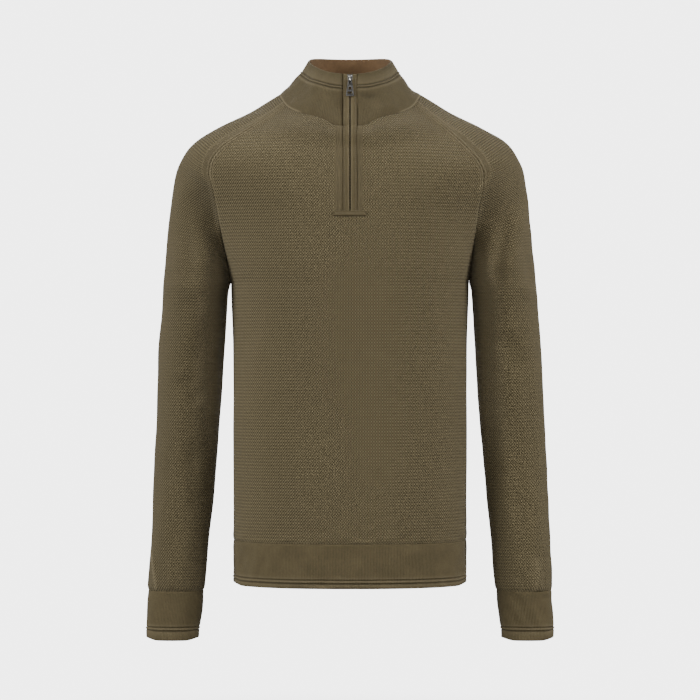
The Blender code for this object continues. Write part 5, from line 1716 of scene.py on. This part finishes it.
def polished(name, node, finish, body):
    """A metal part of the zip with every edge tumbled round."""
    bm = bmesh.new()
    bm.from_mesh(frame["nodes"][node].data)
    bm.transform(frame["nodes"][node].matrix_world)
    bmesh.ops.remove_doubles(bm, verts=bm.verts, dist=1e-6)
    bmesh.ops.dissolve_limit(bm, angle_limit=FLAT_WITHIN, verts=bm.verts, edges=bm.edges)
    corners = [edge for edge in bm.edges if edge.is_manifold
               and edge.calc_face_angle() > CORNER_FROM]
    bmesh.ops.bevel(bm, geom=corners, offset=TUMBLED, segments=3, profile=0.5, affect="EDGES",
                    clamp_overlap=True)
    obj = solid_from(name, bm, finish, body)
    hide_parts(node)
    return obj


def build_slider_shoulders(line, metal):
    """The bright rounded bar over the slider's shoulders and the polished front of its bridge."""
    bm = bmesh.new()
    point, inward, up = line.frame(SLIDER_Z)
    face = point - inward * (SEAM_GAP + SLIDER_PLATE)
    high = face + up * (SLIDER_HEIGHT / 2 - SHOULDER_BELOW)
    across = np.array([SLIDER_WIDTH / 2 - SHOULDER_RADIUS, 0, 0])
    cylinder_between(bm, high - across, high + across, SHOULDER_RADIUS, 12)
    spine = face + up * BRIDGE_HIGH
    cylinder_between(bm, spine, high, SHOULDER_RADIUS * 0.85, 12)
    crown = face - inward * (BRIDGE_REACH - BRIDGE_BAR / 2)
    cylinder_between(bm, crown + up * (BRIDGE_LOW + 0.0004), crown + up * (BRIDGE_HIGH - 0.0004),
                     CROWN_RADIUS, 12)
    return solid_from("zip_slider_shoulders", bm, metal)


def build_end_bar(front, knit):
    """Folded plain strip sewn across the foot of the zip."""
    up, across = (np.sin(np.linspace(-np.pi / 2, np.pi / 2, count)) for count in BAR_STEPS)
    z = END_BAR_Z + END_BAR_HEIGHT / 2 * up
    x = END_BAR_HALF * across
    back = np.array([[[a, surface_y(front, a, b) - SEAM_GAP, b] for a in x] for b in z])
    normals = np.broadcast_to(np.array([0.0, -1.0, 0.0]), back.shape).copy()
    cloth = Cloth(back, normals, back[..., 2], back[..., 0])
    edge = np.minimum((END_BAR_HEIGHT / 2 - np.abs(z - END_BAR_Z))[:, None],
                      END_BAR_HALF - np.abs(x))
    cloth.rise += END_BAR_WALL * puffed(edge, BAR_EDGE) + BAR_LIFT
    draw_lines(cloth, edge, BAR_LINES)
    cloth.depth[:] = 0
    cloth.plain[:] = 1
    return cloth.build("zip_end_bar_strip", [knit]), cloth


def surface_y(grid, x, z):
    """Depth of a panel grid at a place seen from the front."""
    heights = grid[:, PANEL_HALF_COLUMNS, 2]
    row = min(max(int(np.argmin(np.abs(heights - z))), 1), len(grid) - 2)
    share = (z - heights[row - 1]) / (heights[row + 1] - heights[row - 1])
    line = blend(grid[row - 1], grid[row + 1], share)
    order = np.argsort(line[:, 0])
    return float(np.interp(x, line[order, 0], line[order, 1]))


# ---------------------------------------------------------------- room
def build_room():
    bpy.ops.mesh.primitive_circle_add(vertices=96, radius=FLOOR_RADIUS, fill_type="NGON",
                                      location=(0, 0, FLOOR_Z))
    floor = bpy.context.active_object
    floor.name = "floor"
    floor.visible_diffuse = floor.visible_glossy = False
    s = Shader("floor", (0.86, 0.86, 0.86), 0.9)
    place = s.node("ShaderNodeTexCoord", "Object")
    away = s.node("ShaderNodeVectorMath", "Value", {"operation": "LENGTH"})
    s.put(away.node.inputs[0], place)
    fade = s.node("ShaderNodeMapRange", "Result", {"interpolation_type": "SMOOTHSTEP"},
                  Value=away, From_Min=FLOOR_FADE[0], From_Max=FLOOR_FADE[1], To_Min=FLOOR_GLOW)
    glow = s.node("ShaderNodeEmission", "Emission", Color=(1, 1, 1, 1), Strength=WHITE)
    both = s.tree.nodes.new("ShaderNodeMixShader")
    s.put(both.inputs[0], fade)
    s.put(both.inputs[1], s.shader.outputs[0])
    s.put(both.inputs[2], glow)
    s.put(s.tree.nodes["Material Output"].inputs["Surface"], both.outputs[0])
    floor.data.materials.append(s.material)
    world = bpy.data.worlds.new("studio")
    bpy.context.scene.world = world
    world.use_nodes = True
    tree = world.node_tree
    sky, seen = tree.nodes["Background"], tree.nodes.new("ShaderNodeBackground")
    for light, strength in ((sky, ROOM_LIGHT), (seen, WHITE)):
        light.inputs["Color"].default_value = (1, 1, 1, 1)
        light.inputs["Strength"].default_value = strength
    path = tree.nodes.new("ShaderNodeLightPath")
    mix = tree.nodes.new("ShaderNodeMixShader")
    tree.links.new(path.outputs["Is Camera Ray"], mix.inputs[0])
    tree.links.new(sky.outputs[0], mix.inputs[1])
    tree.links.new(seen.outputs[0], mix.inputs[2])
    tree.links.new(mix.outputs[0], tree.nodes["World Output"].inputs["Surface"])
    for name, place, aim, size, power in LAMPS:
        lamp = bpy.data.lights.new(name, "AREA")
        lamp.shape = "RECTANGLE"
        lamp.size, lamp.size_y = size
        lamp.energy = power
        obj = bpy.data.objects.new(name, lamp)
        obj.location = place
        obj.rotation_euler = (Vector(aim) - Vector(place)).to_track_quat("-Z", "Y").to_euler()
        bpy.context.scene.collection.objects.link(obj)


def build_camera():
    camera = bpy.data.cameras.new("camera")
    camera.sensor_width = SENSOR
    camera.lens = SENSOR * CAMERA_AWAY / VIEW_WIDTH
    camera.clip_end = 50
    obj = bpy.data.objects.new("camera", camera)
    obj.location = (0, -CAMERA_AWAY, CAMERA_Z)
    obj.rotation_euler = (math.pi / 2, 0, 0)
    bpy.context.scene.collection.objects.link(obj)
    bpy.context.scene.camera = obj


# ---------------------------------------------------------------- the sweater
def main():
    build_room()
    build_camera()
    olive, plain_olive = (OLIVE, OLIVE_DARK), (OLIVE_PLAIN, OLIVE_PLAIN_DARK)
    # A darker copy of the plain knit for the collar and the end bar: painted shade.
    shaded_plain_olive = [darker(colour, COLLAR_PAINTED_SHADE) for colour in plain_olive]
    brown = (LINING, LINING_DARK)
    knit = yarn_shader("textured_knit", olive, plain_olive, OLIVE_SHADE_COLOUR, KNIT_BUMP)
    plain = yarn_shader("plain_knit", olive, plain_olive, OLIVE_SHADE_COLOUR, PLAIN_BUMP)
    shaded_plain = yarn_shader("plain_knit_painted_shade", olive, shaded_plain_olive, OLIVE_SHADE_COLOUR, PLAIN_BUMP)
    lining = yarn_shader("collar_lining", brown, brown, LINING_SHADE_COLOUR, PLAIN_BUMP)
    tape = tape_shader("zip_tape", TAPE_BROWN)
    thread = thread_shader("sewing_thread", THREAD)
    dark_metal, nickel, bright = (metal_shader(*metal) for metal in METALS)

    front = panel_grid("front", cap_shares(), body_rows())
    back = panel_grid("back", cap_shares(), body_rows())[:, ::-1]
    front_normals, back_normals = panel_normals(front), panel_normals(back)
    flatten_slit_normals(front_normals, [PANEL_HALF_COLUMNS, PANEL_HALF_COLUMNS + 1])
    for normals, grid in ((front_normals, front), (back_normals, back)):
        normals[-1] = collar_base_normals(grid[-1])
    cap = len(body_rows())
    for name, side, seed in (("sleeve_left", -1, 71), ("sleeve_right", 1, 81)):
        edge = 0 if side < 0 else -1
        seams = front_normals[cap:, edge], back_normals[cap:, -1 - edge]
        dress(build_sleeve(name + "_knit", side, seams, knit, seed), name)
    panels = build_front(front, front_normals, knit), build_back(back, back_normals, knit)
    for made, node in zip(panels, ("front", "back")):
        dress(made, node)
    dress(build_collar([shaded_plain, lining]), "collar")
    dress(build_tube_band("hem_band_knit", torso_ring, 41, plain, HEM_BAND), "hem_band")
    for node, side, seed in (("cuff_left", -1, 91), ("cuff_right", 1, 93)):
        ring_at = functools.partial(sleeve_ring, side)
        dress(build_tube_band(node + "_knit", ring_at, seed, plain, CUFF_BAND), node)
    line = FrontLine(front)
    runs = []
    for side, word in ((-1, "left"), (1, "right")):
        made = build_facing("zip_facing_" + word, side, line, plain)
        dress(made, "facing_" + word)
        cloth = made[1]
        from_stitch = np.abs(cloth.points[0, :, 0]) - (FACING_REACH - FACING_STITCH)
        column = int(np.argmin(np.abs(from_stitch)))
        runs.append((cloth.outer()[:-2, column], cloth.normals[:-2, column]))
        dress(build_tape("zip_tape_woven_" + word, side, line, tape), "zip_tape_" + word)
    teeth = build_teeth(line, dark_metal)
    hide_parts("zip_chain")
    dress(build_end_bar(front, shaded_plain), "zip_end_bar")
    stitches("zip_stitches", runs, thread)
    polished("zip_slider_body", "zip_slider", nickel, "garment")
    build_slider_shoulders(line, bright)
    polished("zip_pull_tab", "zip_pull", dark_metal, "pull_tab")


main()
